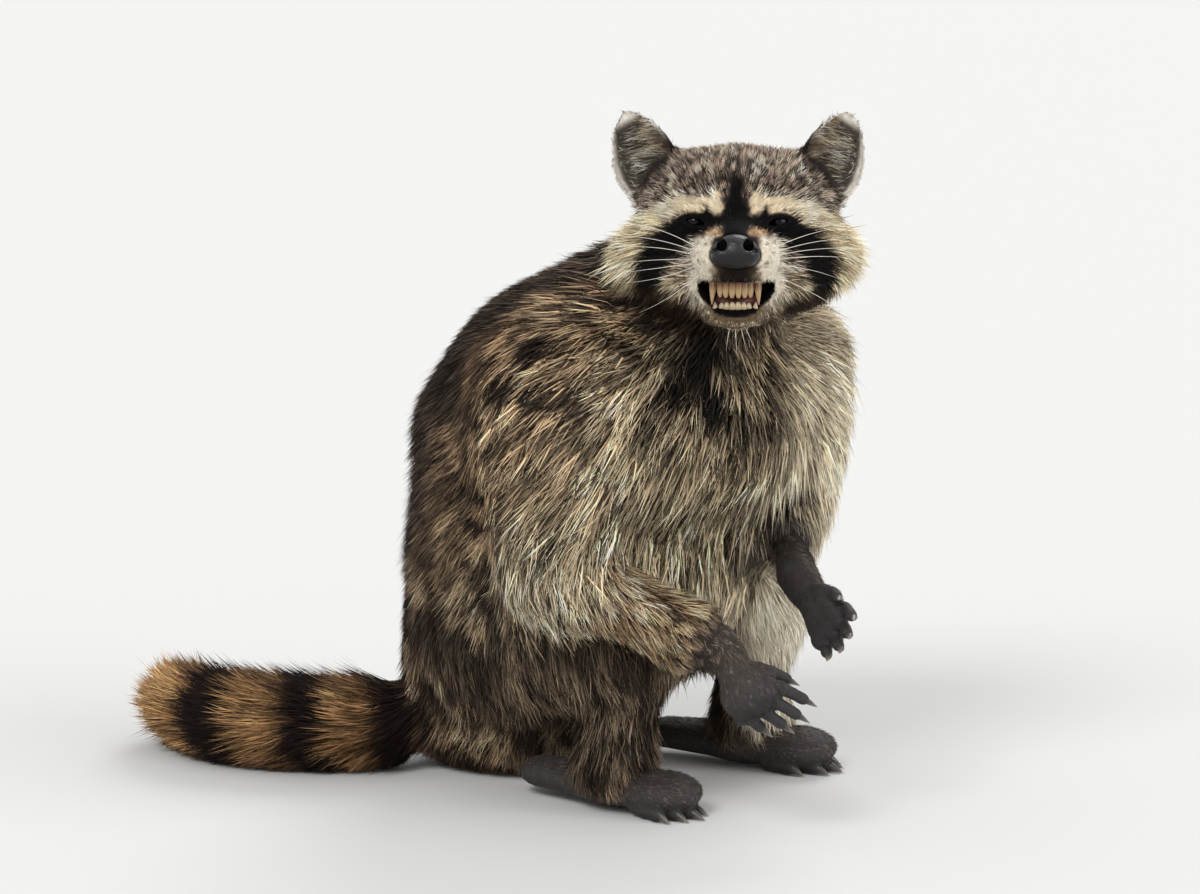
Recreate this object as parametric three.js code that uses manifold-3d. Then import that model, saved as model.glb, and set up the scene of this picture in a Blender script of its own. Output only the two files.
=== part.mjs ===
// A raccoon, life size, sitting hunched on its haunches with its forepaws hanging and its teeth bared.
// Millimetres, +Z up. The face looks along -Y; the body is turned from it towards the animal's left, +X.
// The flesh and coat are one blended field of ellipsoids and tapered limbs. It is skinned with surface
// nets and parted into nodes with thin cuts. Digits, claws, teeth and tail are tubes along curves.
import * as THREE from "three";
import Module from "manifold-3d";

const wasm = await Module();
wasm.setup();

const GAP = 0.6; // width of the cut between two nodes
const SLACK = 0.1; // how far a facet may move where a solid is made lighter
const FLOOR = 0; // height of the flats it rests on

// Headings, in degrees from -Y towards +X, along the twisted spine.
const PELVIS_HEADING = 58;
const BELLY_HEADING = 52;
const CHEST_HEADING = 44;
const HEAD_HEADING = -2;
const HEAD_PITCH = 9; // the muzzle points this far above level

// Sizes that the rest follows, over the coat.
const EYE_SPACING = 45;
const EYE_RADIUS = 7.5;
const MUZZLE_LENGTH = 52; // from between the eyes to the nose
const SKULL_HALF_WIDTH = 52;
const EAR_LENGTH = 50;
const RIM = 1.6; // thickness of an ear's edge
const HAND_LENGTH = 70;
const FOOT_LENGTH = 98;
const FOOT_HEIGHT = 24; // at the ankle's cut
const TAIL_RADIUS = 29;

const COAT_COLOUR = 0x8a7660;
const DARK_COLOUR = 0x2b2523;
const PALE_COLOUR = 0xd8ccb4;
const HAND_COLOUR = 0x47423f;

// ---------------------------------------------------------------- frames and fields

const vec = (x, y, z) => new THREE.Vector3(x, y, z);
const radians = THREE.MathUtils.degToRad;

// A frame with x to the animal's left, y backwards and z up, turned by heading and tipped up by pitch.
function stance(x, y, z, heading = 0, pitch = 0, roll = 0) {
  const turn = new THREE.Euler(radians(-pitch), radians(roll), radians(heading), "ZYX");
  return new THREE.Matrix4().makeRotationFromEuler(turn).setPosition(x, y, z);
}
const at = (frame, x, y, z) => vec(x, y, z).applyMatrix4(frame);

const PELVIS = stance(-28, 56, 0, PELVIS_HEADING);
const BELLY = stance(0, 30, 0, BELLY_HEADING);
const CHEST = stance(26, 4, 0, CHEST_HEADING);
const HEAD = stance(75.5, -50, 332, HEAD_HEADING, HEAD_PITCH);

// About the signed distance to an ellipsoid with its radii along the frame's axes.
function ellipsoid(frame, x, y, z, rx, ry, rz) {
  const inverse = frame.clone().multiply(new THREE.Matrix4().makeTranslation(x, y, z)).invert();
  const m = inverse.elements;
  return (px, py, pz) => {
    const qx = (m[0] * px + m[4] * py + m[8] * pz + m[12]) / rx;
    const qy = (m[1] * px + m[5] * py + m[9] * pz + m[13]) / ry;
    const qz = (m[2] * px + m[6] * py + m[10] * pz + m[14]) / rz;
    const near = Math.hypot(qx, qy, qz);
    const slope = Math.hypot(qx / rx, qy / ry, qz / rz);
    return slope < 1e-9 ? -Math.min(rx, ry, rz) : (near * (near - 1)) / slope;
  };
}

// About the signed distance to a limb that tapers from radius ra at a to rb at b.
function limb(a, ra, b, rb) {
  const along = b.clone().sub(a);
  const squared = along.lengthSq();
  return (px, py, pz) => {
    const x = px - a.x;
    const y = py - a.y;
    const z = pz - a.z;
    const t = THREE.MathUtils.clamp((x * along.x + y * along.y + z * along.z) / squared, 0, 1);
    const away = Math.hypot(x - along.x * t, y - along.y * t, z - along.z * t);
    return away - ra - (rb - ra) * t;
  };
}

// The smooth union of fields; soft is how far each one's blend reaches.
function union(fields, soft) {
  return (x, y, z) => {
    let d = fields[0](x, y, z);
    for (let i = 1; i < fields.length; i++) {
      const e = fields[i](x, y, z);
      const h = Math.max(soft - Math.abs(d - e), 0) / soft;
      d = Math.min(d, e) - (h * h * soft) / 4;
    }
    return d;
  };
}
const grown = (field, by) => (x, y, z) => field(x, y, z) - by;
const carved = (field, ...tools) => (x, y, z) =>
  tools.reduce((d, tool) => Math.max(d, -tool(x, y, z)), field(x, y, z));

// ---------------------------------------------------------------- solids

function solidOf(positions, triangles) {
  const mesh = new wasm.Mesh({
    numProp: 3,
    vertProperties: Float32Array.from(positions),
    triVerts: Uint32Array.from(triangles),
  });
  return new wasm.Manifold(mesh);
}

// Surface nets: one vertex in each grid cell that the field's zero surface crosses, set on that surface,
// and one quad round each grid edge that it crosses.
function skinned(field, low, high, cell) {
  const count = vec(0, 0, 0).subVectors(high, low).divideScalar(cell).ceil();
  const [nx, ny, nz] = [count.x + 2, count.y + 2, count.z + 2];
  const index = (i, j, k) => i + nx * (j + ny * k);
  const values = new Float32Array(nx * ny * nz);
  const inside = (i, j, k) => i > 0 && j > 0 && k > 0 && i < nx - 1 && j < ny - 1 && k < nz - 1;
  for (let k = 0; k < nz; k++)
    for (let j = 0; j < ny; j++)
      for (let i = 0; i < nx; i++) {
        const d = field(low.x + i * cell, low.y + j * cell, low.z + k * cell);
        values[index(i, j, k)] = inside(i, j, k) ? d : Math.max(d, cell / 2);
      }
  const corners = [0, 1, 2, 3, 4, 5, 6, 7].map((c) => [c & 1, (c >> 1) & 1, c >> 2]);
  const edges = [];
  for (let a = 0; a < 8; a++)
    for (const bit of [1, 2, 4]) if (!(a & bit)) edges.push([a, a | bit]);
  const vertexOf = new Int32Array(nx * ny * nz).fill(-1);
  const positions = [];
  for (let k = 0; k < nz - 1; k++)
    for (let j = 0; j < ny - 1; j++)
      for (let i = 0; i < nx - 1; i++) {
        const d = corners.map(([a, b, c]) => values[index(i + a, j + b, k + c)]);
        const crossing = edges.filter(([a, b]) => d[a] < 0 !== d[b] < 0);
        if (!crossing.length) continue;
        const sum = vec(0, 0, 0);
        for (const [a, b] of crossing) {
          const t = d[a] / (d[a] - d[b]);
          sum.add(vec(...corners[a]).lerp(vec(...corners[b]), t));
        }
        sum.divideScalar(crossing.length);
        vertexOf[index(i, j, k)] = positions.length / 3;
        positions.push(low.x + (i + sum.x) * cell, low.y + (j + sum.y) * cell, low.z + (k + sum.z) * cell);
      }
  const triangles = [];
  const steps = [[1, 0, 0], [0, 1, 0], [0, 0, 1]];
  for (let k = 0; k < nz - 1; k++)
    for (let j = 0; j < ny - 1; j++)
      for (let i = 0; i < nx - 1; i++)
        steps.forEach(([a, b, c], axis) => {
          const here = values[index(i, j, k)] < 0;
          if (here === values[index(i + a, j + b, k + c)] < 0) return;
          const u = steps[(axis + 1) % 3];
          const v = steps[(axis + 2) % 3];
          const ring = [[0, 0], [1, 0], [1, 1], [0, 1]].map(([p, q]) =>
            vertexOf[index(i - p * u[0] - q * v[0], j - p * u[1] - q * v[1], k - p * u[2] - q * v[2])]);
          if (!here) ring.reverse();
          triangles.push(ring[0], ring[1], ring[2], ring[0], ring[2], ring[3]);
        });
  return solidOf(positions, triangles);
}

// A closed skin over rings that all have the same number of points.
function loft(rings) {
  const sides = rings[0].length;
  const last = rings.length - 1;
  const positions = rings.flat().flatMap((p) => p.toArray());
  const triangles = [];
  for (let i = 0; i < last; i++)
    for (let k = 0; k < sides; k++) {
      const a = i * sides + k;
      const b = i * sides + ((k + 1) % sides);
      triangles.push(a, b + sides, b, a, a + sides, b + sides);
    }
  for (const end of [0, last]) {
    const middle = positions.length / 3;
    const centre = rings[end].reduce((sum, p) => sum.add(p), vec(0, 0, 0)).divideScalar(sides);
    positions.push(centre.x, centre.y, centre.z);
    for (let k = 0; k < sides; k++) {
      const a = end * sides + k;
      const b = end * sides + ((k + 1) % sides);
      triangles.push(...(end ? [middle, b, a] : [middle, a, b]));
    }
  }
  const made = solidOf(positions, triangles);
  return made.volume() < 0 ? solidOf(positions, triangles.reverse()) : made;
}

// A closed tube through points, with a radius at each, as rings of the given number of sides.
// flat is its height over its width, and up the direction of that height.
function tube(points, radii, sides, { flat = 1, up = vec(0, 0, 1) } = {}) {
  const last = points.length - 1;
  return loft(points.map((p, i) => {
    const along = points[Math.min(i + 1, last)].clone().sub(points[Math.max(i - 1, 0)]).normalize();
    const side = vec(0, 0, 0).crossVectors(along, up).normalize();
    const rise = vec(0, 0, 0).crossVectors(side, along);
    return Array.from({ length: sides }, (_, k) => {
      const angle = (2 * Math.PI * k) / sides;
      return p.clone().addScaledVector(side, radii[i] * Math.cos(angle))
        .addScaledVector(rise, radii[i] * flat * Math.sin(angle));
    });
  }));
}

// A box with its middle at a point of the frame, as a solid to cut with.
function block(frame, x, y, z, width, depth, height) {
  const box = new THREE.BoxGeometry(width, depth, height).translate(x, y, z).applyMatrix4(frame);
  const corner = box.getAttribute("position");
  const keys = new Map();
  const positions = [];
  const vertex = Array.from({ length: corner.count }, (_, i) => {
    const key = [corner.getX(i), corner.getY(i), corner.getZ(i)].map((c) => c.toFixed(3)).join();
    if (!keys.has(key)) {
      keys.set(key, positions.length / 3);
      positions.push(corner.getX(i), corner.getY(i), corner.getZ(i));
    }
    return keys.get(key);
  });
  return solidOf(positions, Array.from(box.index.array, (i) => vertex[i]));
}

// Takes out the vertices that a solid hardly needs. A vertex moves onto a neighbour where that neighbour is
// within slack of all the facets round it, none of them turns over and the skin stays closed.
function lightened(solid, slack) {
  const { vertProperties, triVerts, numProp } = solid.getMesh();
  const points = Array.from({ length: vertProperties.length / numProp }, (_, i) =>
    vec(...vertProperties.subarray(i * numProp, i * numProp + 3)));
  const corners = Array.from(triVerts);
  const facets = Array.from({ length: corners.length / 3 }, (_, i) => corners.slice(3 * i, 3 * i + 3));
  const around = points.map(() => new Set());
  facets.forEach((facet, i) => facet.forEach((v) => around[v].add(i)));
  const neighbours = (v) => new Set([...around[v]].flatMap((i) => facets[i]).filter((w) => w !== v));
  const normalOf = (facet) => {
    const [a, b, c] = facet.map((v) => points[v]);
    return vec(0, 0, 0).crossVectors(b.clone().sub(a), c.clone().sub(a));
  };
  const staysFlat = (i, v, u) => {
    const normal = normalOf(facets[i]);
    const size = normal.length();
    if (size > 1e-4 && Math.abs(normal.dot(points[u].clone().sub(points[v]))) > slack * size) return false;
    if (facets[i].includes(u)) return true;
    const turned = normalOf(facets[i].map((w) => (w === v ? u : w)));
    return turned.length() > 0.02 && (size < 1e-4 || turned.dot(normal) > 0.8 * size * turned.length());
  };
  for (let v = 0; v < points.length; v++) {
    const near = neighbours(v);
    const far = (u) => points[u].distanceToSquared(points[v]);
    const order = [...near].sort((a, b) => far(a) - far(b));
    const target = order.find((u) => [...neighbours(u)].filter((w) => near.has(w)).length === 2
      && [...around[v]].every((i) => staysFlat(i, v, u)));
    if (target === undefined) continue;
    for (const i of around[v]) {
      if (facets[i].includes(target)) {
        facets[i].forEach((w) => w !== v && around[w].delete(i));
        facets[i] = null;
      } else {
        facets[i] = facets[i].map((w) => (w === v ? target : w));
        around[target].add(i);
      }
    }
    around[v].clear();
  }
  const number = new Map();
  points.forEach((_, v) => around[v].size && number.set(v, number.size));
  const positions = [...number.keys()].flatMap((v) => points[v].toArray());
  return solidOf(positions, facets.filter(Boolean).flat().map((v) => number.get(v)));
}

const largest = (solid) => solid.decompose().sort((a, b) => b.volume() - a.volume())[0];
const aboveFloor = (solid) => solid.trimByPlane([0, 0, 1], FLOOR);

// The two sides of a plane through a point, with half the gap left out of each: [ahead, behind].
function partedAt(solid, point, normal) {
  const n = normal.clone().normalize();
  const offset = n.dot(point);
  return [
    solid.trimByPlane(n.toArray(), offset + GAP / 2),
    solid.trimByPlane(n.clone().negate().toArray(), -offset + GAP / 2),
  ];
}

// A tube with rounded ends round a chain of joints, to cut a limb out of the body. grow widens it.
function sleeve(joints, radii, grow = 0, sides = 6) {
  const last = joints.length - 1;
  const wide = radii.map((r) => r + grow * 1.2);
  const back = joints[0].clone().sub(joints[1]).normalize();
  const ahead = joints[last].clone().sub(joints[last - 1]).normalize();
  const points = [
    joints[0].clone().addScaledVector(back, wide[0]),
    joints[0].clone().addScaledVector(back, wide[0] * 0.6),
    ...joints,
    joints[last].clone().addScaledVector(ahead, wide[last] * 0.6),
    joints[last].clone().addScaledVector(ahead, wide[last]),
  ];
  return tube(points, [wide[0] * 0.35, wide[0] * 0.8, ...wide, wide[last] * 0.8, wide[last] * 0.35], sides);
}

// A ball or egg as rings, with its radii along the frame's axes.
function egg(frame, x, y, z, rx, ry, rz, rings = 6, sides = 10) {
  const steps = Array.from({ length: rings }, (_, i) => Math.PI * ((i + 0.4) / (rings - 0.2)));
  const axis = steps.map((a) => at(frame, x, y - ry * Math.cos(a), z));
  const up = at(frame, 0, 0, 1).sub(at(frame, 0, 0, 0));
  return tube(axis, steps.map((a) => rx * Math.sin(a)), sides, { flat: rz / rx, up });
}

// ---------------------------------------------------------------- trunk and neck

const NECK_TOP = at(HEAD, 0, 24, -18);
const trunkField = union([
  ellipsoid(PELVIS, 0, 5, 80, 80, 76, 87),
  ellipsoid(PELVIS, 0, 40, 52, 58, 42, 60),
  ellipsoid(BELLY, -2, 6, 142, 102, 103, 86),
  ellipsoid(BELLY, -4, 30, 204, 84, 74, 58),
  ellipsoid(CHEST, 0, -2, 218, 100, 104, 72),
  ellipsoid(CHEST, 0, 38, 246, 80, 64, 46),
  limb(at(CHEST, 0, 0, 256), 58, NECK_TOP, 46),
], 34);

// ---------------------------------------------------------------- legs, side 1 on the animal's left

const LEGS = {
  right: { side: -1, ahead: 0 },
  left: { side: 1, ahead: 10 },
};

function legPoints({ side, ahead }) {
  return {
    hip: at(PELVIS, side * 42, -ahead / 2, 90),
    knee: at(PELVIS, side * 66, -90 - ahead / 2, 92),
    ankle: at(PELVIS, side * 66, -84 - ahead, 28),
    heel: at(PELVIS, side * 60, -46 - ahead, 12),
    ball: at(PELVIS, side * 66, -46 - ahead - 0.72 * FOOT_LENGTH, 12),
  };
}

const thighField = ({ hip, knee }) => limb(hip, 54, knee, 37);
const shank = ({ knee, ankle }, grow = 0) => sleeve([knee, ankle], [36, 27], grow, 10);

// The foot without its toes: a flat tube from behind the heel to the ball.
function sole({ heel, ball }, grow = 0) {
  const steps = [-0.28, -0.12, 0.3, 0.75, 1, 1.08];
  const points = steps.map((t) => heel.clone().lerp(ball, t).setZ(FOOT_HEIGHT / 2));
  points[0].addScaledVector(heel.clone().sub(ball).normalize(), grow);
  const radii = [9, 17, 20, 23, 22, 17].map((r) => r + 1.1 * grow);
  return tube(points, radii, 8, { flat: FOOT_HEIGHT / 40 });
}

// ---------------------------------------------------------------- arms

const ARMS = {
  right: {
    side: -1,
    shoulder: at(CHEST, -74, -8, 232),
    elbow: at(CHEST, -88, -24, 140),
    wrist: vec(69, -114, 101),
    knuckles: vec(83, -134, 80),
    back: vec(-0.35, -0.62, 0.5),
    yaw: 30,
    furred: 0.8,
    curl: 56,
  },
  left: {
    side: 1,
    shoulder: at(CHEST, 84, -10, 230),
    elbow: at(CHEST, 56, -42, 164),
    wrist: vec(113, -53, 127),
    knuckles: vec(128, -75, 109),
    back: vec(0.7, 0.7, -0.1),
    yaw: 18,
    furred: 0.34,
    curl: 30,
  },
};

const upperArmField = ({ shoulder, elbow }) => limb(shoulder, 52, elbow, 36);

// The forearm: thick with coat down to the cuff, then slim to the wrist.
function forearm({ elbow, wrist, furred }, grow = 0) {
  const along = (t) => elbow.clone().lerp(wrist, t);
  return sleeve([elbow, along(0.9 * furred), along(Math.min(0.96, furred + 0.1)), wrist],
    [34, 25, 15, 13], grow, 10);
}

// ---------------------------------------------------------------- paws

// A frame at the knuckles with -y along the paw and z out of its back.
function pawFrame(from, to, back) {
  const y = from.clone().sub(to).normalize();
  const x = vec(0, 0, 0).crossVectors(y, back).normalize();
  const z = vec(0, 0, 0).crossVectors(x, y);
  return new THREE.Matrix4().makeBasis(x, y, z).setPosition(to);
}

// One digit and its claw. It starts at x, y, z, points away from -y by yaw and bends down by curl in all.
function digit(frame, { x, y, z, yaw, length, radius, curl, clawLength }) {
  const joints = 3;
  const points = [vec(x, y + 5, z)];
  for (let i = 0; i < joints; i++) {
    const step = (length + (i ? 0 : 5)) / joints;
    const pitch = radians((curl * (i + 1)) / joints);
    const level = Math.cos(pitch) * step;
    const last = points[points.length - 1];
    points.push(vec(last.x + level * Math.sin(radians(yaw)), last.y - level * Math.cos(radians(yaw)),
      last.z - Math.sin(pitch) * step));
  }
  const path = points.map((p) => p.applyMatrix4(frame));
  const tip = path[joints];
  const along = tip.clone().sub(path[joints - 1]).normalize();
  const up = at(frame, 0, 0, 1).sub(at(frame, 0, 0, 0));
  const claw = [0, 0.5, 1].map((t) => tip.clone()
    .addScaledVector(along, GAP + t * clawLength)
    .addScaledVector(up, -0.3 * t * t * clawLength));
  return {
    flesh: tube(path, [1.05, 1.06, 1, 0.62].map((share) => share * radius), 5, { up }),
    claw: tube(claw, [0.56, 0.4, 0.13].map((share) => share * radius), 4, { up }),
  };
}

// The digits of one forepaw, thumb first.
function handDigits({ side, curl, yaw }) {
  const fingers = [0.35, 0.39, 0.37, 0.3].map((share, i) => ({
    x: side * (i - 1.5) * 7.2, y: Math.abs(i - 1.5) * 1.6, z: 0, yaw: side * ((i - 1.5) * 6 - yaw),
    length: share * HAND_LENGTH, radius: 3.7, curl, clawLength: 8,
  }));
  const thumb = {
    x: side * -12, y: 11, z: -2, yaw: side * (-14 - yaw),
    length: 0.22 * HAND_LENGTH, radius: 3.6, curl, clawLength: 7,
  };
  return [thumb, ...fingers];
}

// The digits of one hind paw, flat on the floor, inner toe first.
const footDigits = ({ side }) => [16, 21, 23, 21, 17].map((length, i) => ({
  x: side * (i - 2) * 6.9, y: Math.abs(i - 2) * 2.2 + (i ? 0 : 5), z: -7, yaw: side * (i - 2) * 5,
  length, radius: 4.4, curl: 10, clawLength: 9,
}));

// ---------------------------------------------------------------- head

const pair = (make) => [make(-1), make(1)];
const headForms = [
  ellipsoid(HEAD, 0, 14, 2, SKULL_HALF_WIDTH, 60, 43),
  ...pair((side) => ellipsoid(HEAD, side * 42, 6, -18, 31, 32, 29)),
  ...pair((side) => ellipsoid(HEAD, side * 36, 8, 14, 24, 30, 26)),
  ...pair((side) => ellipsoid(HEAD, side * 24, -6, -36, 28, 28, 17)),
  ...pair((side) => ellipsoid(HEAD, side * 26, -22, 13, 16, 12, 8)),
  limb(at(HEAD, 0, -20, -10), 23, at(HEAD, 0, -36 - 0.7 * MUZZLE_LENGTH, -16), 13),
];
const lipForms = pair((side) => ellipsoid(HEAD, side * 11.5, -62, -20, 13.5, 22, 12));
const jawForms = [
  limb(at(HEAD, 0, -14, -38), 22, at(HEAD, 0, -62, -50), 8),
  ellipsoid(HEAD, 0, -58, -51, 20, 25, 9),
];
const mouth = union([
  ellipsoid(HEAD, 0, -62, -41, 19, 34, 8),
  ellipsoid(HEAD, 0, -60, -38, 25, 14, 4),
], 4);
const headField = carved(
  union([union([union(headForms, 16), ...lipForms], 8), union(jawForms, 6)], 7),
  mouth,
);

const noseField = carved(
  union([
    ellipsoid(HEAD, 0, -84, -15.5, 12, 9.5, 9.4),
    ...pair((side) => ellipsoid(HEAD, side * 8, -85, -17, 5.6, 7, 6.2)),
  ], 4),
  ...pair((side) => ellipsoid(HEAD, side * 6.6, -96, -14, 3, 8, 3.2)),
);

// A gum along the arch of a jaw with its front teeth, which grow from it, as one body. grow thickens it.
const UPPER_TEETH = { height: -33, front: -77, tooth: -9, canine: -11.5, canineAt: 0.3 };
const LOWER_TEETH = { height: -50, front: -73, tooth: 5, canine: 4.5, canineAt: 0.27 };
function gumWithTeeth({ height, front, tooth, canine, canineAt }, grow = 0) {
  const arch = (t, forward = 0) => {
    const angle = Math.PI * (t - 0.5);
    return at(HEAD, 15.5 * Math.sin(angle), front + 16 * (1 - Math.cos(angle)) - forward, height);
  };
  const direction = (x, y, z) => at(HEAD, x, y, z).sub(at(HEAD, 0, 0, 0));
  const steps = Array.from({ length: 6 }, (_, i) => (i - (grow ? 0.05 : 0)) / (grow ? 4.9 : 5));
  const along = steps.map((t) => arch(t));
  const gum = tube(along, steps.map(() => 3 + 1.3 * grow), 5, { up: direction(0, 0, 1) });
  const peg = (t, reach, radius) => {
    const root = arch(t, 1);
    const tip = root.clone().add(direction(0, 0, reach + Math.sign(reach) * grow));
    const radii = [1.25 * radius + 1.4 * grow, 0.85 * radius + 1.4 * grow];
    return tube([root, tip], radii, 4, { up: direction(0, -1, 0) });
  };
  const incisors = [0.31, 0.386, 0.462, 0.538, 0.614, 0.69].map((t) => peg(t, tooth, 1.7));
  const canines = [0.5 - canineAt, 0.5 + canineAt].map((t) => peg(t, canine, 2.2));
  return [...incisors, ...canines].reduce((all, one) => all.add(one), gum);
}

// One ear: rings of a crescent, open forwards, that widen from the root and close at the tip.
function ear(side, grow = 0) {
  const frame = stance(0, 0, 0, side * 22, 8, side * 33).setPosition(at(HEAD, side * 42, 14, 20));
  const half = 5;
  const rings = [
    [0, 19, 16, 9], [13, 21, 17, 6.5], [24, 19.5, 14.5, 4.6],
    [34, 15.5, 10.5, 3.8], [42, 10.5, 6.5, 3.2], [48, 5, 3.2, 2.4],
  ].map(([z, width, depth, thick]) => {
    const arc = (k, wide, deep, shift) => {
      const angle = Math.PI * (k / half - 0.5);
      const height = z * (EAR_LENGTH / 50) - (z ? 0 : 2 * grow);
      return at(frame, wide * Math.sin(angle), deep * Math.cos(angle) - depth * 0.6 + shift, height);
    };
    const back = Array.from({ length: half + 1 }, (_, k) => arc(k, width + grow, depth + grow, 0));
    const front = Array.from({ length: half + 1 }, (_, k) => (k % half
      ? arc(half - k, width - grow, depth - thick - grow, -RIM)
      : arc(half - k, width + grow, depth - thick, -RIM - 2.2 * grow)));
    return [...back, ...front];
  });
  return loft(rings);
}

const bodyField = union([
  trunkField,
  headField,
  ...Object.values(LEGS).map((leg) => thighField(legPoints(leg))),
  ...Object.values(ARMS).map(upperArmField),
], 14);

// ---------------------------------------------------------------- tail

// It leaves the rump along the floor, swings out to the animal's right and ends curled back.
const TAIL_PATH = new THREE.CatmullRomCurve3([
  vec(-76, 66, 39), vec(-112, 50, 30), vec(-156, 46, 27), vec(-206, 60, 26.5),
  vec(-239, 92, 26), vec(-252, 138, 23),
]);
const tailRadius = (t) => TAIL_RADIUS * (0.86 + 0.16 * Math.sin(Math.PI * Math.min(1, t * 1.15)))
  * Math.sqrt(Math.max(0.04, 1 - Math.max(0, (t - 0.8) / 0.2) ** 2));
function tail(grow = 0) {
  const steps = Array.from({ length: 12 }, (_, i) => i / 11);
  return tube(steps.map((t) => TAIL_PATH.getPointAt(t)), steps.map((t) => tailRadius(t) + 1.1 * grow), 10);
}

// ---------------------------------------------------------------- nodes

const figure = new THREE.Group();
function addNode(name, solid, colour = COAT_COLOUR) {
  const { vertProperties, triVerts, numProp } = lightened(solid, SLACK).getMesh();
  const position = new Float32Array((vertProperties.length / numProp) * 3);
  for (let i = 0; i < position.length / 3; i++)
    position.set(vertProperties.subarray(i * numProp, i * numProp + 3), i * 3);
  const geometry = new THREE.BufferGeometry()
    .setAttribute("position", new THREE.BufferAttribute(position, 3))
    .setIndex(new THREE.BufferAttribute(triVerts, 1));
  const mesh = new THREE.Mesh(geometry, new THREE.MeshStandardMaterial({ color: colour, roughness: 0.9 }));
  mesh.name = name;
  figure.add(mesh);
}

// The figure's flesh in a box round some points, skinned with cells of one size and cut off at the floor.
// Large facets cut the corners off a round form, so it is first grown by a share of the cell.
function fleshNear(points, margin, cell) {
  const box = new THREE.Box3().setFromPoints(points).expandByScalar(margin);
  return aboveFloor(skinned(grown(bodyField, 0.06 * cell), box.min, box.max, cell));
}

// The room of the head: an egg round the skull and cheeks with a block ahead of it for the muzzle.
const headRoom = (grow) => egg(HEAD, 0, 12, -4, 94 + grow, 106 + grow, 64 + grow, 6, 10)
  .add(block(HEAD, 0, -92, -22, 112 + 2 * grow, 100 + 2 * grow, 104 + 2 * grow));
const taken = [tail(GAP)];
const clearOf = (solid, cutters = taken) => cutters.reduce((left, cutter) => left.subtract(cutter), solid);
const bisector = (a, b, c) => b.clone().sub(a).normalize().add(c.clone().sub(b).normalize());

for (const [name, arm] of Object.entries(ARMS)) {
  const { shoulder, elbow, wrist, knuckles } = arm;
  const bend = bisector(shoulder, elbow, wrist);
  const turn = bisector(elbow, wrist, knuckles);
  const upper = (grow) => sleeve([shoulder, elbow], [62, 44], grow);
  const [, upperArm] = partedAt(fleshNear([shoulder, elbow], 66, 20).intersect(upper(0)), elbow, bend);
  const [, lowerArm] = partedAt(partedAt(forearm(arm), elbow, bend)[0], wrist, turn);
  addNode("upper_arm_" + name, largest(clearOf(clearOf(upperArm, [headRoom(GAP)]))));
  addNode("forearm_" + name, largest(lowerArm));
  taken.push(upper(GAP), forearm(arm, GAP));

  const frame = pawFrame(wrist, knuckles, arm.back);
  const palmPath = [-1.2, -0.8, -0.4, 0, 0.2].map((t) => knuckles.clone().lerp(wrist, -t));
  const up = at(frame, 0, 0, 1).sub(at(frame, 0, 0, 0));
  const palm = tube(palmPath, [10.5, 11.5, 15, 15, 11.5], 8, { flat: 0.5, up });
  const digits = handDigits(arm).map((spec) => digit(frame, spec));
  const [hand] = partedAt(digits.reduce((all, { flesh }) => all.add(flesh), palm), wrist, turn);
  addNode("hand_" + name, largest(hand), HAND_COLOUR);
  ["thumb", "index", "middle", "ring", "little"].forEach((which, i) =>
    addNode(`claw_hand_${name}_${which}`, digits[i].claw, DARK_COLOUR));
}

for (const [name, leg] of Object.entries(LEGS)) {
  const points = legPoints(leg);
  const { hip, knee, ankle, heel, ball } = points;
  const fold = bisector(hip, knee, ankle);
  const upper = (grow) => sleeve([hip, knee], [64, 46], grow);
  const [, thigh] = partedAt(fleshNear([hip, knee], 66, 20).intersect(upper(0)), knee, fold);
  const [lower] = partedAt(shank(points), knee, fold);
  const [aboveFoot] = partedAt(lower, vec(0, 0, FOOT_HEIGHT), vec(0, 0, 1));
  addNode("thigh_" + name, largest(clearOf(thigh)));
  addNode("shank_" + name, largest(clearOf(aboveFoot)));
  taken.push(upper(GAP), shank(points, GAP), sole(points, GAP));

  const frame = pawFrame(heel, ball, vec(0, 0, 1));
  const digits = footDigits(leg).map((spec) => digit(frame, spec));
  const foot = digits.reduce((all, { flesh }) => all.add(flesh), sole(points));
  const [, underShank] = partedAt(aboveFloor(foot), vec(0, 0, FOOT_HEIGHT), vec(0, 0, 1));
  addNode("foot_" + name, largest(underShank), HAND_COLOUR);
  ["inner", "second", "middle", "fourth", "outer"].forEach((which, i) =>
    addNode(`claw_foot_${name}_${which}`, aboveFloor(digits[i].claw), DARK_COLOUR));
}

const trunkCorners = [vec(-140, -130, -10), vec(170, 130, 300)];
const trunk = clearOf(fleshNear(trunkCorners, 4, 23), [...taken, headRoom(GAP)]);
const [neck, belowNeck] = partedAt(trunk, at(CHEST, 0, 0, 266), vec(0.42, -0.32, 0.85));
const [chest, belowChest] = partedAt(belowNeck, at(BELLY, 0, 0, 186), vec(0.2, -0.15, 1));
const [abdomen, rump] = partedAt(belowChest, at(PELVIS, 0, 0, 106), vec(0.25, -0.16, 1));
addNode("neck", largest(neck));
addNode("chest", largest(chest));
addNode("abdomen", largest(abdomen));
addNode("rump", largest(rump));

const tailCuts = [0.3, 0.55, 0.78];
let rest = aboveFloor(tail());
tailCuts.forEach((t, i) => {
  const [ahead, behind] = partedAt(rest, TAIL_PATH.getPointAt(t), TAIL_PATH.getTangentAt(t));
  addNode(["tail_root", "tail_middle", "tail_banded"][i], largest(behind));
  rest = ahead;
});
addNode("tail_tip", largest(rest));

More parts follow.
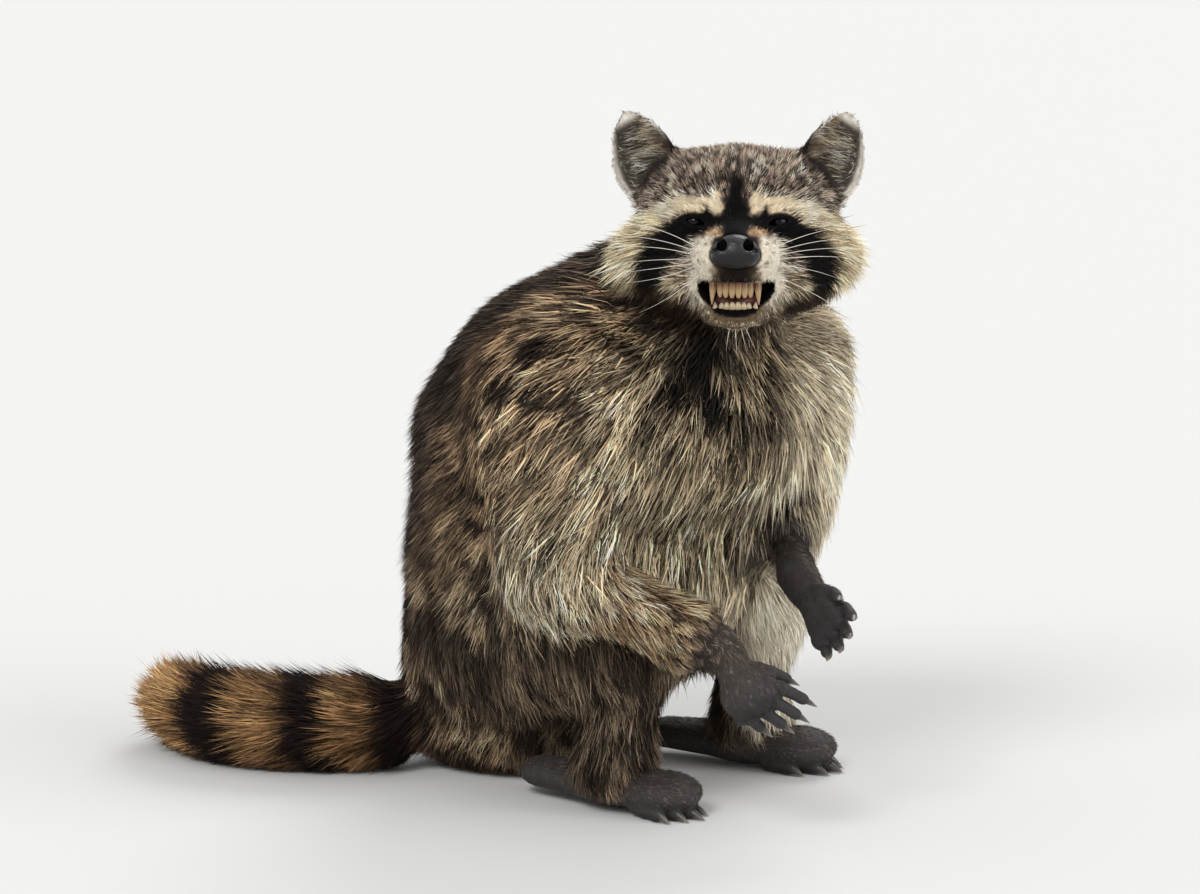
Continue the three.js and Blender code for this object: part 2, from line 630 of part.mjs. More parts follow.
const eye = (side) => egg(HEAD, (side * EYE_SPACING) / 2, -32.5, -1, EYE_RADIUS, EYE_RADIUS, EYE_RADIUS, 6);
const socket = (side) => egg(HEAD, (side * EYE_SPACING) / 2, -37, -1, 10.5, 15, 9.8, 5, 8);
for (const [side, name] of [[-1, "right"], [1, "left"]]) {
  addNode("ear_" + name, ear(side));
  addNode("eye_" + name, eye(side), DARK_COLOUR);
}
const noseCut = at(HEAD, 0, -83.5, -16);
const noseAhead = at(HEAD, 0, -1, 0).sub(at(HEAD, 0, 0, 0));
const noseWhole = skinned(noseField, at(HEAD, -18, -110, -34), at(HEAD, 18, -66, 4), 3.5);
addNode("nose", largest(partedAt(noseWhole, noseCut, noseAhead)[0]), DARK_COLOUR);
addNode("upper_gums", gumWithTeeth(UPPER_TEETH), PALE_COLOUR);
addNode("lower_gums", gumWithTeeth(LOWER_TEETH), PALE_COLOUR);
const noseRoom = block(HEAD, 0, -83.5 - 15 + GAP / 2, -13, 40, 30, 30);
const jawBlock = (grow) => block(HEAD, 0, -80, -62, 60 + 2 * grow, 90 + 2 * grow, 36 + 2 * grow);
const muzzlePlane = [at(HEAD, 0, -42, 0), noseAhead];
const headSolid = (low, high, cell) =>
  skinned(grown(bodyField, 0.05 * cell), at(HEAD, ...low), at(HEAD, ...high), cell).intersect(headRoom(0));
const front = (cell) => partedAt(clearOf(headSolid([-50, -100, -84], [50, -20, 30], cell),
  [noseRoom, gumWithTeeth(UPPER_TEETH, GAP), gumWithTeeth(LOWER_TEETH, GAP)]), ...muzzlePlane)[0];
addNode("lower_jaw", largest(front(5.5).intersect(jawBlock(0))));
addNode("muzzle", largest(front(6).subtract(jawBlock(GAP))));
const back = clearOf(headSolid([-90, -100, -84], [90, 100, 60], 13),
  [ear(-1, GAP), ear(1, GAP), socket(-1), socket(1)]);
addNode("head", largest(partedAt(back, ...muzzlePlane)[1]));

// The origin is the middle of the underside of the box round the whole figure.
const box = new THREE.Box3().setFromObject(figure);
const middle = box.getCenter(vec(0, 0, 0));
figure.position.set(-middle.x, -middle.y, -box.min.z);
const root = new THREE.Group().add(figure);

export default root;
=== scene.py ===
import math
import time

import bmesh
import bpy
import numpy as np
import openvdb
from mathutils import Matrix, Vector


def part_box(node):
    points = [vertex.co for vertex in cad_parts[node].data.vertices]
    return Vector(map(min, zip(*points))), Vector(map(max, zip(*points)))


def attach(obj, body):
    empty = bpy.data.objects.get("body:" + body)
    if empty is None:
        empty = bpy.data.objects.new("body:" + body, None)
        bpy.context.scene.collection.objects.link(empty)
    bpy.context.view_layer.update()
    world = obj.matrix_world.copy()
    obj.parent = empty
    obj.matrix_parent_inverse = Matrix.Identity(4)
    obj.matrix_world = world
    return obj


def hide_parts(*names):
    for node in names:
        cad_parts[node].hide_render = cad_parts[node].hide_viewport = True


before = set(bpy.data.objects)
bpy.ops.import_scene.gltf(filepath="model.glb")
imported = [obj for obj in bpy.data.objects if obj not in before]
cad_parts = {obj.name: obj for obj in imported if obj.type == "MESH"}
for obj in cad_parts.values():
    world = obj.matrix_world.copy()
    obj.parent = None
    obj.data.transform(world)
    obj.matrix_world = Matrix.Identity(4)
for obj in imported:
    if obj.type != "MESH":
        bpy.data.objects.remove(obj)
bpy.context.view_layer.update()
started = time.time()


def say(text):
    print(f"[{time.time() - started:5.1f} s] {text}")


# frames: x to the animal's left, y backwards, z up, in millimetres

def turnOf(heading=0, pitch=0, roll=0):
    # rotation about z by heading, after y by roll, after x by minus pitch, in degrees
    h, r, p = np.radians([heading, roll, -pitch])
    rz = np.array([[np.cos(h), -np.sin(h), 0], [np.sin(h), np.cos(h), 0], [0, 0, 1]])
    ry = np.array([[np.cos(r), 0, np.sin(r)], [0, 1, 0], [-np.sin(r), 0, np.cos(r)]])
    rx = np.array([[1, 0, 0], [0, np.cos(p), -np.sin(p)], [0, np.sin(p), np.cos(p)]])
    return rz @ ry @ rx


def stance(x, y, z, heading=0, pitch=0, roll=0):
    # a place: how a form's own frame is turned, and where its origin lies
    return turnOf(heading, pitch, roll), np.array([x, y, z], float)


def at(place, x, y, z):
    # a point of a place's own frame, in the figure's frame
    return place[0] @ np.array([x, y, z], float) + place[1]


def toLocal(place, p):
    # the figure's points in a place's own frame
    return (p - place[1].astype(p.dtype)) @ place[0].astype(p.dtype)


pelvis = stance(-28, 56, 0, 58)
belly = stance(0, 30, 0, 52)
chest = stance(26, 4, 0, 44)
headPlace = stance(75.5, -50, 332, -2, 9)

# the solids' origin is the middle of their box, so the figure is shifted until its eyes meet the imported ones
eyeSettings = {"spacing": 45, "y": -32.5, "z": -1, "radius": 7.5, "cornea": 0.75, "iris": 4.6, "pupil": 1.9}


def boxMiddle(name):
    # middle of a node's box, in millimetres
    low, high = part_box(name)
    return np.array((low + high) / 2) * 1000


eyesMiddle = at(headPlace, 0, eyeSettings["y"], eyeSettings["z"])
figureShift = (boxMiddle("eye_left") + boxMiddle("eye_right")) / 2 - eyesMiddle
figureShift[2] = 0
say(f"figure shifted by {figureShift.round(2)} mm")


# fields: about the signed distance to a form, below zero inside it

def ellipsoid(place, centre, radii):
    # q is the point over the radii; distance is |q| (|q| - 1) / |q / radii|
    centre, radii = np.array(centre, np.float32), np.array(radii, np.float32)

    def field(p):
        q = (toLocal(place, p) - centre) / radii
        near = np.sqrt((q * q).sum(1))
        slope = np.sqrt(((q / radii) ** 2).sum(1))
        return near * (near - 1) / np.maximum(slope, 1e-5)
    return field


def limb(a, ra, b, rb, squash=1.0):
    # distance to the nearest point of the line a-b, less a radius that runs from ra to rb;
    # squash flattens z
    a, b = np.array(a, np.float32), np.array(b, np.float32)
    stretch = np.array([1, 1, 1 / squash], np.float32)
    along = (b - a) * stretch

    def field(p):
        q = (p - a) * stretch
        t = np.clip(q @ along / (along @ along), 0, 1)
        away = np.sqrt(((q - t[:, None] * along) ** 2).sum(1))
        return (away - ra - (rb - ra) * t) * (squash ** 0.5)
    return field


def chain(points, radii):
    # the nearest of the limbs between neighbouring points
    links = [limb(a, ra, b, rb) for a, ra, b, rb in zip(points, radii, points[1:], radii[1:])]
    return lambda p: np.minimum.reduce([link(p) for link in links])


def blendMin(d, e, soft):
    # the smaller of two distances, rounded off where they differ by less than soft
    h = np.maximum(soft - np.abs(d - e), 0) / soft
    return np.minimum(d, e) - h * h * soft / 4


def union(fields, soft):
    # the fields blended one after another
    def field(p):
        d = fields[0](p)
        for other in fields[1:]:
            d = blendMin(d, other(p), soft)
        return d
    return field


def carve(d, e, soft):
    # cuts e out of d with a rounded edge
    return -blendMin(-d, e, soft)


def unitRows(v):
    # each row over its own length
    return v / np.maximum(np.linalg.norm(v, axis=1), 1e-6)[:, None]


def smooth(x, low, high):
    # 3 t^2 - 2 t^3, where t runs from 0 at low to 1 at high
    t = np.clip((x - low) / (high - low), 0, 1)
    return t * t * (3 - 2 * t)


def bump(x, middle, width):
    # a bell, 1 at the middle and 1 / e a width away
    return np.exp(-((x - middle) / width) ** 2)


# trunk and neck

trunkSettings = {"blend": 34, "hair": 6, "frontHair": 7, "shoulders": 58, "neck": 46}
neckTop = at(headPlace, 0, 24, -18)
trunkOutline = union([
    ellipsoid(pelvis, (0, 5, 80), (80, 76, 87)),
    ellipsoid(pelvis, (0, 40, 52), (58, 42, 60)),
    ellipsoid(belly, (-2, 6, 142), (102, 103, 86)),
    ellipsoid(belly, (-4, 30, 204), (84, 74, 58)),
    ellipsoid(chest, (0, -2, 218), (100, 104, 72)),
    ellipsoid(chest, (0, 38, 246), (80, 64, 46)),
    limb(at(chest, 0, 0, 256), trunkSettings["shoulders"], neckTop, trunkSettings["neck"]),
], trunkSettings["blend"])


def trunkDepth(p):
    # depth of the hair: thickest on the chest and belly, thinner down the back and where it sits
    front = smooth(-toLocal(belly, p)[:, 1], -50, 70)
    return (trunkSettings["hair"] + trunkSettings["frontHair"] * front) * smooth(p[:, 2], -4, 40)


# legs, side 1 on the animal's left

legSettings = {"right": {"side": -1, "ahead": 0}, "left": {"side": 1, "ahead": 10}}
footSettings = {"length": 98, "toes": [16, 21, 23, 21, 17], "toeRadius": 4.4, "gap": 6.9, "spread": 5,
                "curl": 10}


def legJoints(side, ahead):
    # joints in the pelvis's frame; ahead brings them forwards
    return {
        "hip": at(pelvis, side * 42, -ahead / 2, 90),
        "knee": at(pelvis, side * 66, -90 - ahead / 2, 92),
        "ankle": at(pelvis, side * 66, -84 - ahead, 28),
        "heel": at(pelvis, side * 60, -46 - ahead, 12),
        "ball": at(pelvis, side * 66, -46 - ahead - 0.72 * footSettings["length"], 12),
    }


legs = {name: {**given, **legJoints(**given)} for name, given in legSettings.items()}

# arms

armSettings = {
    "right": {"side": -1, "shoulder": at(chest, -74, -8, 232), "elbow": at(chest, -88, -24, 140),
              "wrist": (69, -114, 101), "knuckles": (83, -134, 80), "back": (-0.35, -0.62, 0.5),
              "yaw": 30, "furred": 0.8, "curl": 56},
    "left": {"side": 1, "shoulder": at(chest, 84, -10, 230), "elbow": at(chest, 56, -42, 164),
             "wrist": (113, -53, 127), "knuckles": (128, -75, 109), "back": (0.7, 0.7, -0.1),
             "yaw": 18, "furred": 0.34, "curl": 30},
}
handSettings = {"length": 70, "radius": 3.7, "shares": [0.35, 0.39, 0.37, 0.3], "gap": 7.2, "spread": 6}


def pawPlace(start, end, back):
    # -y along the paw, z out of its back, at the knuckles
    start, end = np.array(start, float), np.array(end, float)
    y = (start - end) / np.linalg.norm(start - end)
    x = np.cross(y, back)
    x /= np.linalg.norm(x)
    return np.stack([x, y, np.cross(x, y)], 1), end


def digitPath(place, x, y, z, yaw, length, curl):
    # three joints that bend down by curl in all, from just behind x, y, z
    points = [np.array([x, y + 5, z], float)]
    for i in range(3):
        step = (length + (0 if i else 5)) / 3
        pitch = math.radians(curl * (i + 1) / 3)
        level, turned = math.cos(pitch) * step, math.radians(yaw)
        ahead = [level * math.sin(turned), -level * math.cos(turned), -math.sin(pitch) * step]
        points.append(points[-1] + ahead)
    return [at(place, *q) for q in points]


def fingersOf(arm):
    # a thumb at the side of the palm, and four fingers that fan out from its end
    side, curl, yaw = arm["side"], arm["curl"], arm["yaw"]
    length, gap, spread = handSettings["length"], handSettings["gap"], handSettings["spread"]
    specs = [(side * -12, 11, -2, side * (-14 - yaw), 0.22 * length)]
    for i, share in enumerate(handSettings["shares"]):
        turn = side * ((i - 1.5) * spread - yaw)
        specs.append((side * (i - 1.5) * gap, abs(i - 1.5) * 1.6, 0, turn, share * length))
    return [digitPath(arm["place"], *spec, curl) for spec in specs]


def toesOf(leg):
    # five toes side by side, the inner one further back
    paths = []
    for i, length in enumerate(footSettings["toes"]):
        across = leg["side"] * (i - 2)
        back = abs(i - 2) * 2.2 + (0 if i else 5)
        paths.append(digitPath(leg["place"], across * footSettings["gap"], back, -7,
                               across * footSettings["spread"], length, footSettings["curl"]))
    return paths


for arm in armSettings.values():
    arm["place"] = pawPlace(arm["wrist"], arm["knuckles"], arm["back"])
    arm["digits"] = fingersOf(arm)
    arm["wrist"], arm["knuckles"] = np.array(arm["wrist"], float), np.array(arm["knuckles"], float)
for leg in legs.values():
    leg["place"] = pawPlace(leg["heel"], leg["ball"], (0, 0, 1))
    leg["digits"] = toesOf(leg)


def digitField(path, radius, pad):
    # bones that taper, a knuckle at the middle joint and a pad under the tip
    radii = [1.02 * radius, 0.96 * radius, 0.92 * radius, 0.66 * radius]
    down = np.array(pad, float)
    tip = path[3] * 0.72 + path[2] * 0.28 + down * 0.22 * radius
    return union([chain(path, radii), limb(path[1], 1.08 * radius, path[1] + down * 0.01, 1.08 * radius),
                  limb(tip, 0.86 * radius, tip + (path[2] - path[3]) * 0.3, 0.8 * radius)], 1.6)


def handField(arm):
    # a palm with the root of the thumb, four pads and the wrist, and its digits
    place = arm["place"]
    down = -place[0][:, 2]
    fingers = [digitField(path, handSettings["radius"], down) for path in arm["digits"]]
    palm = union([
        ellipsoid(place, (0, 7, 0), (15, 17, 7)),
        ellipsoid(place, (arm["side"] * -9, 12, -3), (7, 11, 5.5)),
        limb(at(place, 0, 12, 0), 9, arm["wrist"] + (arm["wrist"] - arm["knuckles"]) * 0.3, 10.5),
        *[ellipsoid(place, (x, -1, -4.5), (4.4, 5.5, 3.2)) for x in (-10, -3.4, 3.4, 10)],
    ], 4)
    return union([palm, *fingers], 2.2)


def footField(leg):
    # a flattened sole from behind the heel to the ball, and its toes
    heel, ball = leg["heel"], leg["ball"]
    toes = [digitField(path, footSettings["toeRadius"], (0, 0, -1)) for path in leg["digits"]]
    back = heel + (heel - ball) * 0.16
    middle = heel * 0.5 + ball * 0.5
    sole = union([limb(back, 15.5, middle, 19.5, 0.58), limb(middle, 19.5, ball, 21.5, 0.54)], 6)
    return union([sole, *toes], 3)


def forearmField(arm):
    # thick under its hair, and thin from where the hair ends to the wrist
    elbow, wrist, furred = arm["elbow"], arm["wrist"], arm["furred"]
    along = lambda t: elbow + (wrist - elbow) * t
    return chain([elbow, along(0.9 * furred), along(min(0.96, furred + 0.1)), wrist], [34, 25, 15, 12.5])


def alongArm(p, arm):
    # how far each point is along the forearm, 0 at the elbow and 1 at the wrist
    bone = arm["wrist"] - arm["elbow"]
    return (p - arm["elbow"]) @ bone / (bone ** 2).sum()


def forearmDepth(arm):
    # depth of the hair, which ends at the furred share of the arm; the left one is slimmer along its middle
    a, b, furred = arm["elbow"].astype(np.float32), arm["wrist"].astype(np.float32), arm["furred"]

    def depth(p):
        t = (p - a) @ (b - a) / ((b - a) @ (b - a))
        slim = 1.5
        if arm["side"] > 0:
            slim = 5.2 - 2.6 * smooth(t, 0.45, 0.8) + 4 * (1 - smooth(t, 0.3, 0.5))
        return 0.8 + slim + 9 * (1 - smooth(t, 0.55 * furred, furred + 0.12))
    return depth


# head

def pair(make):
    # one for each side, of which -1 is the animal's right
    return [make(-1), make(1)]
skullForms = [
    ellipsoid(headPlace, (0, 14, 2), (52, 60, 43)),
    *pair(lambda s: ellipsoid(headPlace, (s * 42, 6, -18), (31, 32, 29))),
    *pair(lambda s: ellipsoid(headPlace, (s * 36, 8, 14), (24, 30, 26))),
    *pair(lambda s: ellipsoid(headPlace, (s * 24, -6, -36), (28, 28, 17))),
    *pair(lambda s: ellipsoid(headPlace, (s * 26, -22, 13), (16, 12, 8))),
    limb(at(headPlace, 0, -20, -10), 23, at(headPlace, 0, -72.4, -16), 13),
]
lipForms = pair(lambda s: ellipsoid(headPlace, (s * 11.5, -61, -20), (13.5, 22, 12)))
# x, y, z and radius along each lip, from its middle to behind the corner
upperLipPoints = [(0, -74.5, -30.4, 4.3), (6, -73.5, -30.4, 4.3), (11, -69.5, -30.2, 4.2),
                  (14.6, -62.5, -29.8, 4.1),
                  (17, -54, -30.2, 3.9), (18.6, -45, -31, 3.8), (19.8, -37, -32, 4.2), (21, -29, -33, 5)]
lowerLipPoints = [(0, -71.5, -50.8, 3.5), (6, -70.3, -50.5, 3.5), (10.6, -66.5, -49, 3.4),
                  (13.8, -60, -46, 3.3),
                  (16.4, -52, -42.3, 3.3), (18.4, -44, -38.8, 3.6),
                  (19.8, -37, -37.5, 4.2), (20.5, -29, -38, 6)]


def lipField(points):
    # a limb along the lip, the same on both sides
    both = [(-x, y, z, r) for x, y, z, r in points[:0:-1]] + points
    return chain([at(headPlace, *point[:3]) for point in both], [point[3] for point in both])


jawForms = [
    limb(at(headPlace, 0, -14, -38), 22, at(headPlace, 0, -58, -51), 7.5),
    ellipsoid(headPlace, (0, -56, -52), (14.5, 20, 7)),
    *pair(lambda s: ellipsoid(headPlace, (s * 11.6, -40, -48), (10, 21, 10))),
    lipField(lowerLipPoints),
]

mouthSettings = {"corner": -36, "length": 38, "open": 8, "middle": -34.5, "slope": 6, "halfWidth": 19.6}


def lipGap(p):
    # a wedge between the lips that opens forwards from their corners: |z - middle| less half its height
    s = mouthSettings
    x, y, z = toLocal(headPlace, p).T
    t = np.clip((s["corner"] - y) / s["length"], 0, 1.2)
    half = s["open"] * t ** 0.7 - 1 - 0.8 * np.maximum(y - s["corner"], 0)
    return np.maximum(np.abs(z - s["middle"] + s["slope"] * t) - half, np.abs(x) - s["halfWidth"])


hollow = ellipsoid(headPlace, (0, -52, -41), (14, 25, 7.5))
upperHead = union([union(skullForms, 16), *lipForms, lipField(upperLipPoints)], 7)
headOutline = union([upperHead, union(jawForms, 5)], 6)


def mouthRoom(p):
    # the gap between the lips with the hollow behind it
    return blendMin(lipGap(p), hollow(p), 3)


def headDepth(p):
    # a short coat on the face, deep on the cheeks, and deeper towards the neck
    x, y, z = toLocal(headPlace, p).T
    depth = 1.2 + 8 * smooth(np.abs(x), 30, 64) * smooth(y, -50, -15) + 2.6 * smooth(y, -45, 0)
    return depth + 6 * smooth(y, 10, 55) + 3 * smooth(-z, 30, 60) * smooth(y, -50, -10)


lidSettings = {"radius": 9.2, "halfWidth": 6.2, "upper": 2.1, "lower": 1.5, "tilt": 11, "swell": 0.6,
               "crease": (23.5, -39, 7.5), "creaseDepth": 1.3, "creaseWidth": 9, "creaseHeight": 1.4}


def fissureField(side):
    # the space between the lids: a lens of two arcs that runs straight back to the middle of the eye
    s = lidSettings
    tilt = math.radians(s["tilt"]) * side

    def field(p):
        q = toLocal(headPlace, p)
        x, z = q[:, 0] - side * eyeSettings["spacing"] / 2, q[:, 2] - eyeSettings["z"]
        u, v = x * math.cos(tilt) + z * math.sin(tilt), -x * math.sin(tilt) + z * math.cos(tilt)
        arc = lambda rise: (s["halfWidth"] ** 2 + rise ** 2) / (2 * rise)
        upper, lower = arc(s["upper"]), arc(s["lower"])
        top = np.hypot(u, v - s["upper"] + upper) - upper
        bottom = np.hypot(u, v + s["lower"] - lower) - lower
        return np.maximum(np.maximum(top, bottom), q[:, 1] - eyeSettings["y"] - 1)
    return field


def lidField(side):
    # a ball round the eye, a little wider than it is high
    swell, r = lidSettings["swell"], lidSettings["radius"]
    centre = (side * eyeSettings["spacing"] / 2, eyeSettings["y"] + swell, eyeSettings["z"])
    return ellipsoid(headPlace, centre, (r + swell, r, r))


fissures = pair(fissureField)
lids = pair(lidField)


def headField(p):
    # the head under its hair, with creased lids blended on, and the eyes' and the mouth's openings cut out
    d = headOutline(p) + headDepth(p)
    s = lidSettings
    across, ahead, above = s["crease"]
    for side, lid, fissure in zip((-1, 1), lids, fissures):
        q = toLocal(headPlace, p) - np.array([side * across, ahead, above], np.float32)
        away = (-(q[:, 0] / s["creaseWidth"]) ** 2 - (q[:, 1] / s["creaseWidth"]) ** 2
                - ((q[:, 2] - 1) / s["creaseHeight"]) ** 2)
        d = blendMin(d + s["creaseDepth"] * np.exp(away), lid(p), 4)
        d = carve(d, fissure(p), 0.8)
    return carve(d, mouthRoom(p), 1.8)


# ears: half cups, open forwards, that close at the tip

# widths, depths and walls go with the heights above the ear's root, which lies on the head and is turned
earSettings = {"length": 50, "heights": [-6, 0, 12, 22, 31, 38.5, 44, 46],
               "widths": [17, 18, 20, 18.6, 14.8, 10, 4.6, 0.5],
               "depths": [15, 15, 16, 13.6, 9.8, 6, 2.8, 0.5],
               "walls": [7, 6.5, 4, 3, 2.6, 2.4, 2.2, 1], "root": (42, 14, 20), "turn": (22, 8, 33)}


def earPlace(side):
    # turned outwards by heading, back by pitch and outwards by roll
    across, behind, above = earSettings["root"]
    heading, pitch, roll = earSettings["turn"]
    return turnOf(side * heading, pitch, side * roll), at(headPlace, side * across, behind, above)


earPlaces = {-1: earPlace(-1), 1: earPlace(1)}


def earSizes(z):
    # half width, depth and wall at each height
    return [np.interp(z, earSettings["heights"], earSettings[key]) for key in ("widths", "depths", "walls")]


def earField(side):
    # each level is a crescent between two half ellipses, whose sizes run along the height
    low, high = earSettings["heights"][0], earSettings["heights"][-1]

    def field(p):
        x, y, z = toLocal(earPlaces[side], p).T
        w, d, wall = (size.astype(np.float32) for size in earSizes(z))
        back = y + 0.6 * d
        outer = (np.hypot(x / w, back / d) - 1) * np.minimum(w, d)
        wi, di = np.maximum(w - 1.8, 0.3), np.maximum(d - wall, 0.3)
        inner = (np.hypot(x / wi, back / di) - 1) * np.minimum(wi, di)
        inner = np.where(z < 2, 9, inner)
        cup = np.maximum(np.maximum(outer, -inner), -(back + 1.2))
        return np.maximum(np.maximum(cup, z - high), low - z)
    return field


# tail

tailSettings = {"radius": 29, "depth": 9, "tipDepth": 14, "steps": 33}
tailPoints = np.array([(-76, 66, 39), (-112, 50, 30), (-156, 46, 27), (-206, 60, 26.5), (-239, 92, 26),
                       (-252, 138, 23)], float)


def smoothPath(points, count):
    # a Catmull-Rom curve with centripetal knots, at even steps of its length
    ends = np.vstack([2 * points[0] - points[1], points, 2 * points[-1] - points[-2]])
    knots = np.concatenate([[0], np.cumsum(np.linalg.norm(np.diff(ends, axis=0), axis=1) ** 0.5)])
    mix = lambda t, k0, k1, v0, v1: (k1 - t) / (k1 - k0) * v0 + (t - k0) / (k1 - k0) * v1
    fine = []
    for i in range(1, len(ends) - 2):
        t = np.linspace(knots[i], knots[i + 1], 40, endpoint=i == len(ends) - 3)[:, None]
        k = knots[i - 1:i + 3]
        a = [mix(t, k[j], k[j + 1], ends[i - 1 + j], ends[i + j]) for j in range(3)]
        b = [mix(t, k[j], k[j + 2], a[j], a[j + 1]) for j in range(2)]
        fine.append(mix(t, k[1], k[2], b[0], b[1]))
    fine = np.vstack(fine)
    length = np.concatenate([[0], np.cumsum(np.linalg.norm(np.diff(fine, axis=0), axis=1))])
    even = np.linspace(0, length[-1], count)
    return np.stack([np.interp(even, length, fine[:, i]) for i in range(3)], 1)


tailPath = smoothPath(tailPoints, tailSettings["steps"])


def tailRadius(t):
    # fullest near its middle, and rounded off over its last fifth
    swell = 0.86 + 0.16 * np.sin(np.pi * np.minimum(1, t * 1.15))
    end = np.sqrt(np.maximum(0.04, 1 - np.maximum(0, (t - 0.8) / 0.2) ** 2))
    return tailSettings["radius"] * swell * end


tailOutline = chain(tailPath, tailRadius(np.linspace(0, 1, tailSettings["steps"])))


def alongTail(p):
    # share of the tail's length at the nearest of its points, and the tangent there
    steps = np.linspace(0, 1, tailSettings["steps"])
    gaps = ((p[:, None, :] - tailPath[None].astype(np.float32)) ** 2).sum(2)
    near = gaps.argmin(1)
    tangents = np.gradient(tailPath, axis=0)
    tangents /= np.linalg.norm(tangents, axis=1)[:, None]
    over = ((p - tailPath[near]) * tangents[near]).sum(1) / np.linalg.norm(tailPath[1] - tailPath[0])
    return np.clip(steps[near] + over / (len(steps) - 1), -0.1, 1.1), tangents[near]


# parts of the flesh, each with its field, its coat's depth and a box that holds it

def boxed(points, margin):
    # the corners of the box round some points, with a margin
    points = np.array(points)
    return points.min(0) - margin, points.max(0) + margin


def tailDepth(p):
    # deeper at the tip, where the hair runs on past the end
    along, _ = alongTail(p)
    s = tailSettings
    return s["depth"] * smooth(p[:, 2], -2, 16) + s["tipDepth"] * smooth(along, 0.9, 1.0)


# radius at each end, the hair's depth and the box's margin
limbSettings = {
    "thigh": (54, 37, lambda p: 9.0, 74),
    "shank": (34, 26, lambda p: 3 + 7 * smooth(p[:, 2], 16, 60), 54),
    "upperArm": (52, 36, lambda p: 10.0, 72),
}


def addLimb(name, side, start, end):
    # a part that is one tapered limb
    first, last, depth, margin = limbSettings[name]
    parts[name + side] = (limb(start, first, end, last), depth, boxed([start, end], margin))


parts = {"trunk": (trunkOutline, trunkDepth, (np.full(3, -1e4), np.full(3, 1e4))),
         "head": (headField, None, boxed([headPlace[1]], 118)),
         "tail": (tailOutline, tailDepth, boxed(tailPath, 44))}
for name, leg in legs.items():
    addLimb("thigh", name.title(), leg["hip"], leg["knee"])
    addLimb("shank", name.title(), leg["knee"], leg["ankle"])
    ends = [*leg["digits"][0], *leg["digits"][4], leg["heel"], leg["ball"]]
    parts["foot" + name.title()] = (footField(leg), lambda p: 0.4, boxed(ends, 44))
for name, arm in armSettings.items():
    addLimb("upperArm", name.title(), arm["shoulder"], arm["elbow"])
    ends = [arm["elbow"], arm["wrist"]]
    parts["forearm" + name.title()] = (forearmField(arm), forearmDepth(arm), boxed(ends, 52))
    ends = [arm["wrist"], *sum(arm["digits"], [])]
    parts["hand" + name.title()] = (handField(arm), lambda p: 0.1, boxed(ends, 30))
for side, name in ((-1, "Right"), (1, "Left")):
    ends = [earPlaces[side][1], at(earPlaces[side], 0, 0, earSettings["length"])]
    parts["ear" + name] = (earField(side), lambda p: 0.2, boxed(ends, 40))

# how softly each kind of part, in this order, blends into those before it
softness = {"upperArm": 40, "thigh": 28, "head": 14, "tail": 10, "shank": 12, "foot": 6, "forearm": 9,
            "hand": 5, "ear": 5}


def partDistances(p):
    # the skin's distance to each part; far ones are left at 60
    found = {}
    for name, (field, depth, (low, high)) in parts.items():
        near = ((p > low) & (p < high)).all(1)
        d = np.full(len(p), 60, np.float32)
        if near.any():
            q = p[near]
            d[near] = field(q) + (depth(q) if depth else 0)
        found[name] = d
    return found


def skinField(p):
    # the smooth union of the parts, cut off just above the floor
    found = partDistances(p)
    d = found["trunk"]
    for key, soft in softness.items():
        for name in found:
            if name.startswith(key):
                d = blendMin(d, found[name], soft)
    return np.maximum(d, 0.6 - p[:, 2])


def gradient(field, p, step=0.3):
    # half the difference of the field a step to each side, over the step, along x, y and z
    sides = [field(p + step * axis) - field(p - step * axis) for axis in np.eye(3, dtype=np.float32)]
    g = np.stack(sides, 1)
    return g / (2 * step)


# skin: the field's zero surface on a fine grid near it

skinSettings = {"coarse": 6.5, "fine": 5, "low": (-300, -190, -14), "high": (210, 200, 416),
                "triangles": 186000}


def skinGrid():
    # the field on coarse cells, and again on fine ones near its surface, where the grid is then cut
    s = skinSettings
    cell, n = s["coarse"], s["fine"]
    low = np.array(s["low"], np.float32)
    count = np.ceil((np.array(s["high"]) - low) / cell).astype(int)
    centres = np.stack(np.meshgrid(*[np.arange(c) for c in count], indexing="ij"), -1).reshape(-1, 3)
    d = skinField((low + (centres + 0.5) * cell).astype(np.float32)).reshape(count)
    near = np.abs(d) < cell * 1.35
    dense = np.where(d > 0, 3.0, -3.0).astype(np.float32)
    for axis in range(3):
        dense = dense.repeat(n, axis)
    cells = np.argwhere(near)
    steps = np.stack(np.meshgrid(*[np.arange(n)] * 3, indexing="ij"), -1).reshape(-1, 3)
    index = (cells[:, None] * n + steps[None]).reshape(-1, 3)
    h = cell / n
    values = np.empty(len(index), np.float32)
    for start in range(0, len(index), 400000):
        part = index[start:start + 400000]
        values[start:start + 400000] = skinField((low + (part + 0.5) * h).astype(np.float32))
    dense[tuple(index.T)] = np.clip(values / h, -3, 3)
    say(f"field worked out at {len(index)} points")
    grid = openvdb.FloatGrid(3.0)
    grid.copyFromArray(dense)
    points, quads = grid.convertToQuads(0.0)
    return low + (points + 0.5) * h, quads


points, quads = skinGrid()
say(f"skin has {len(points)} points and {len(quads)} quads")


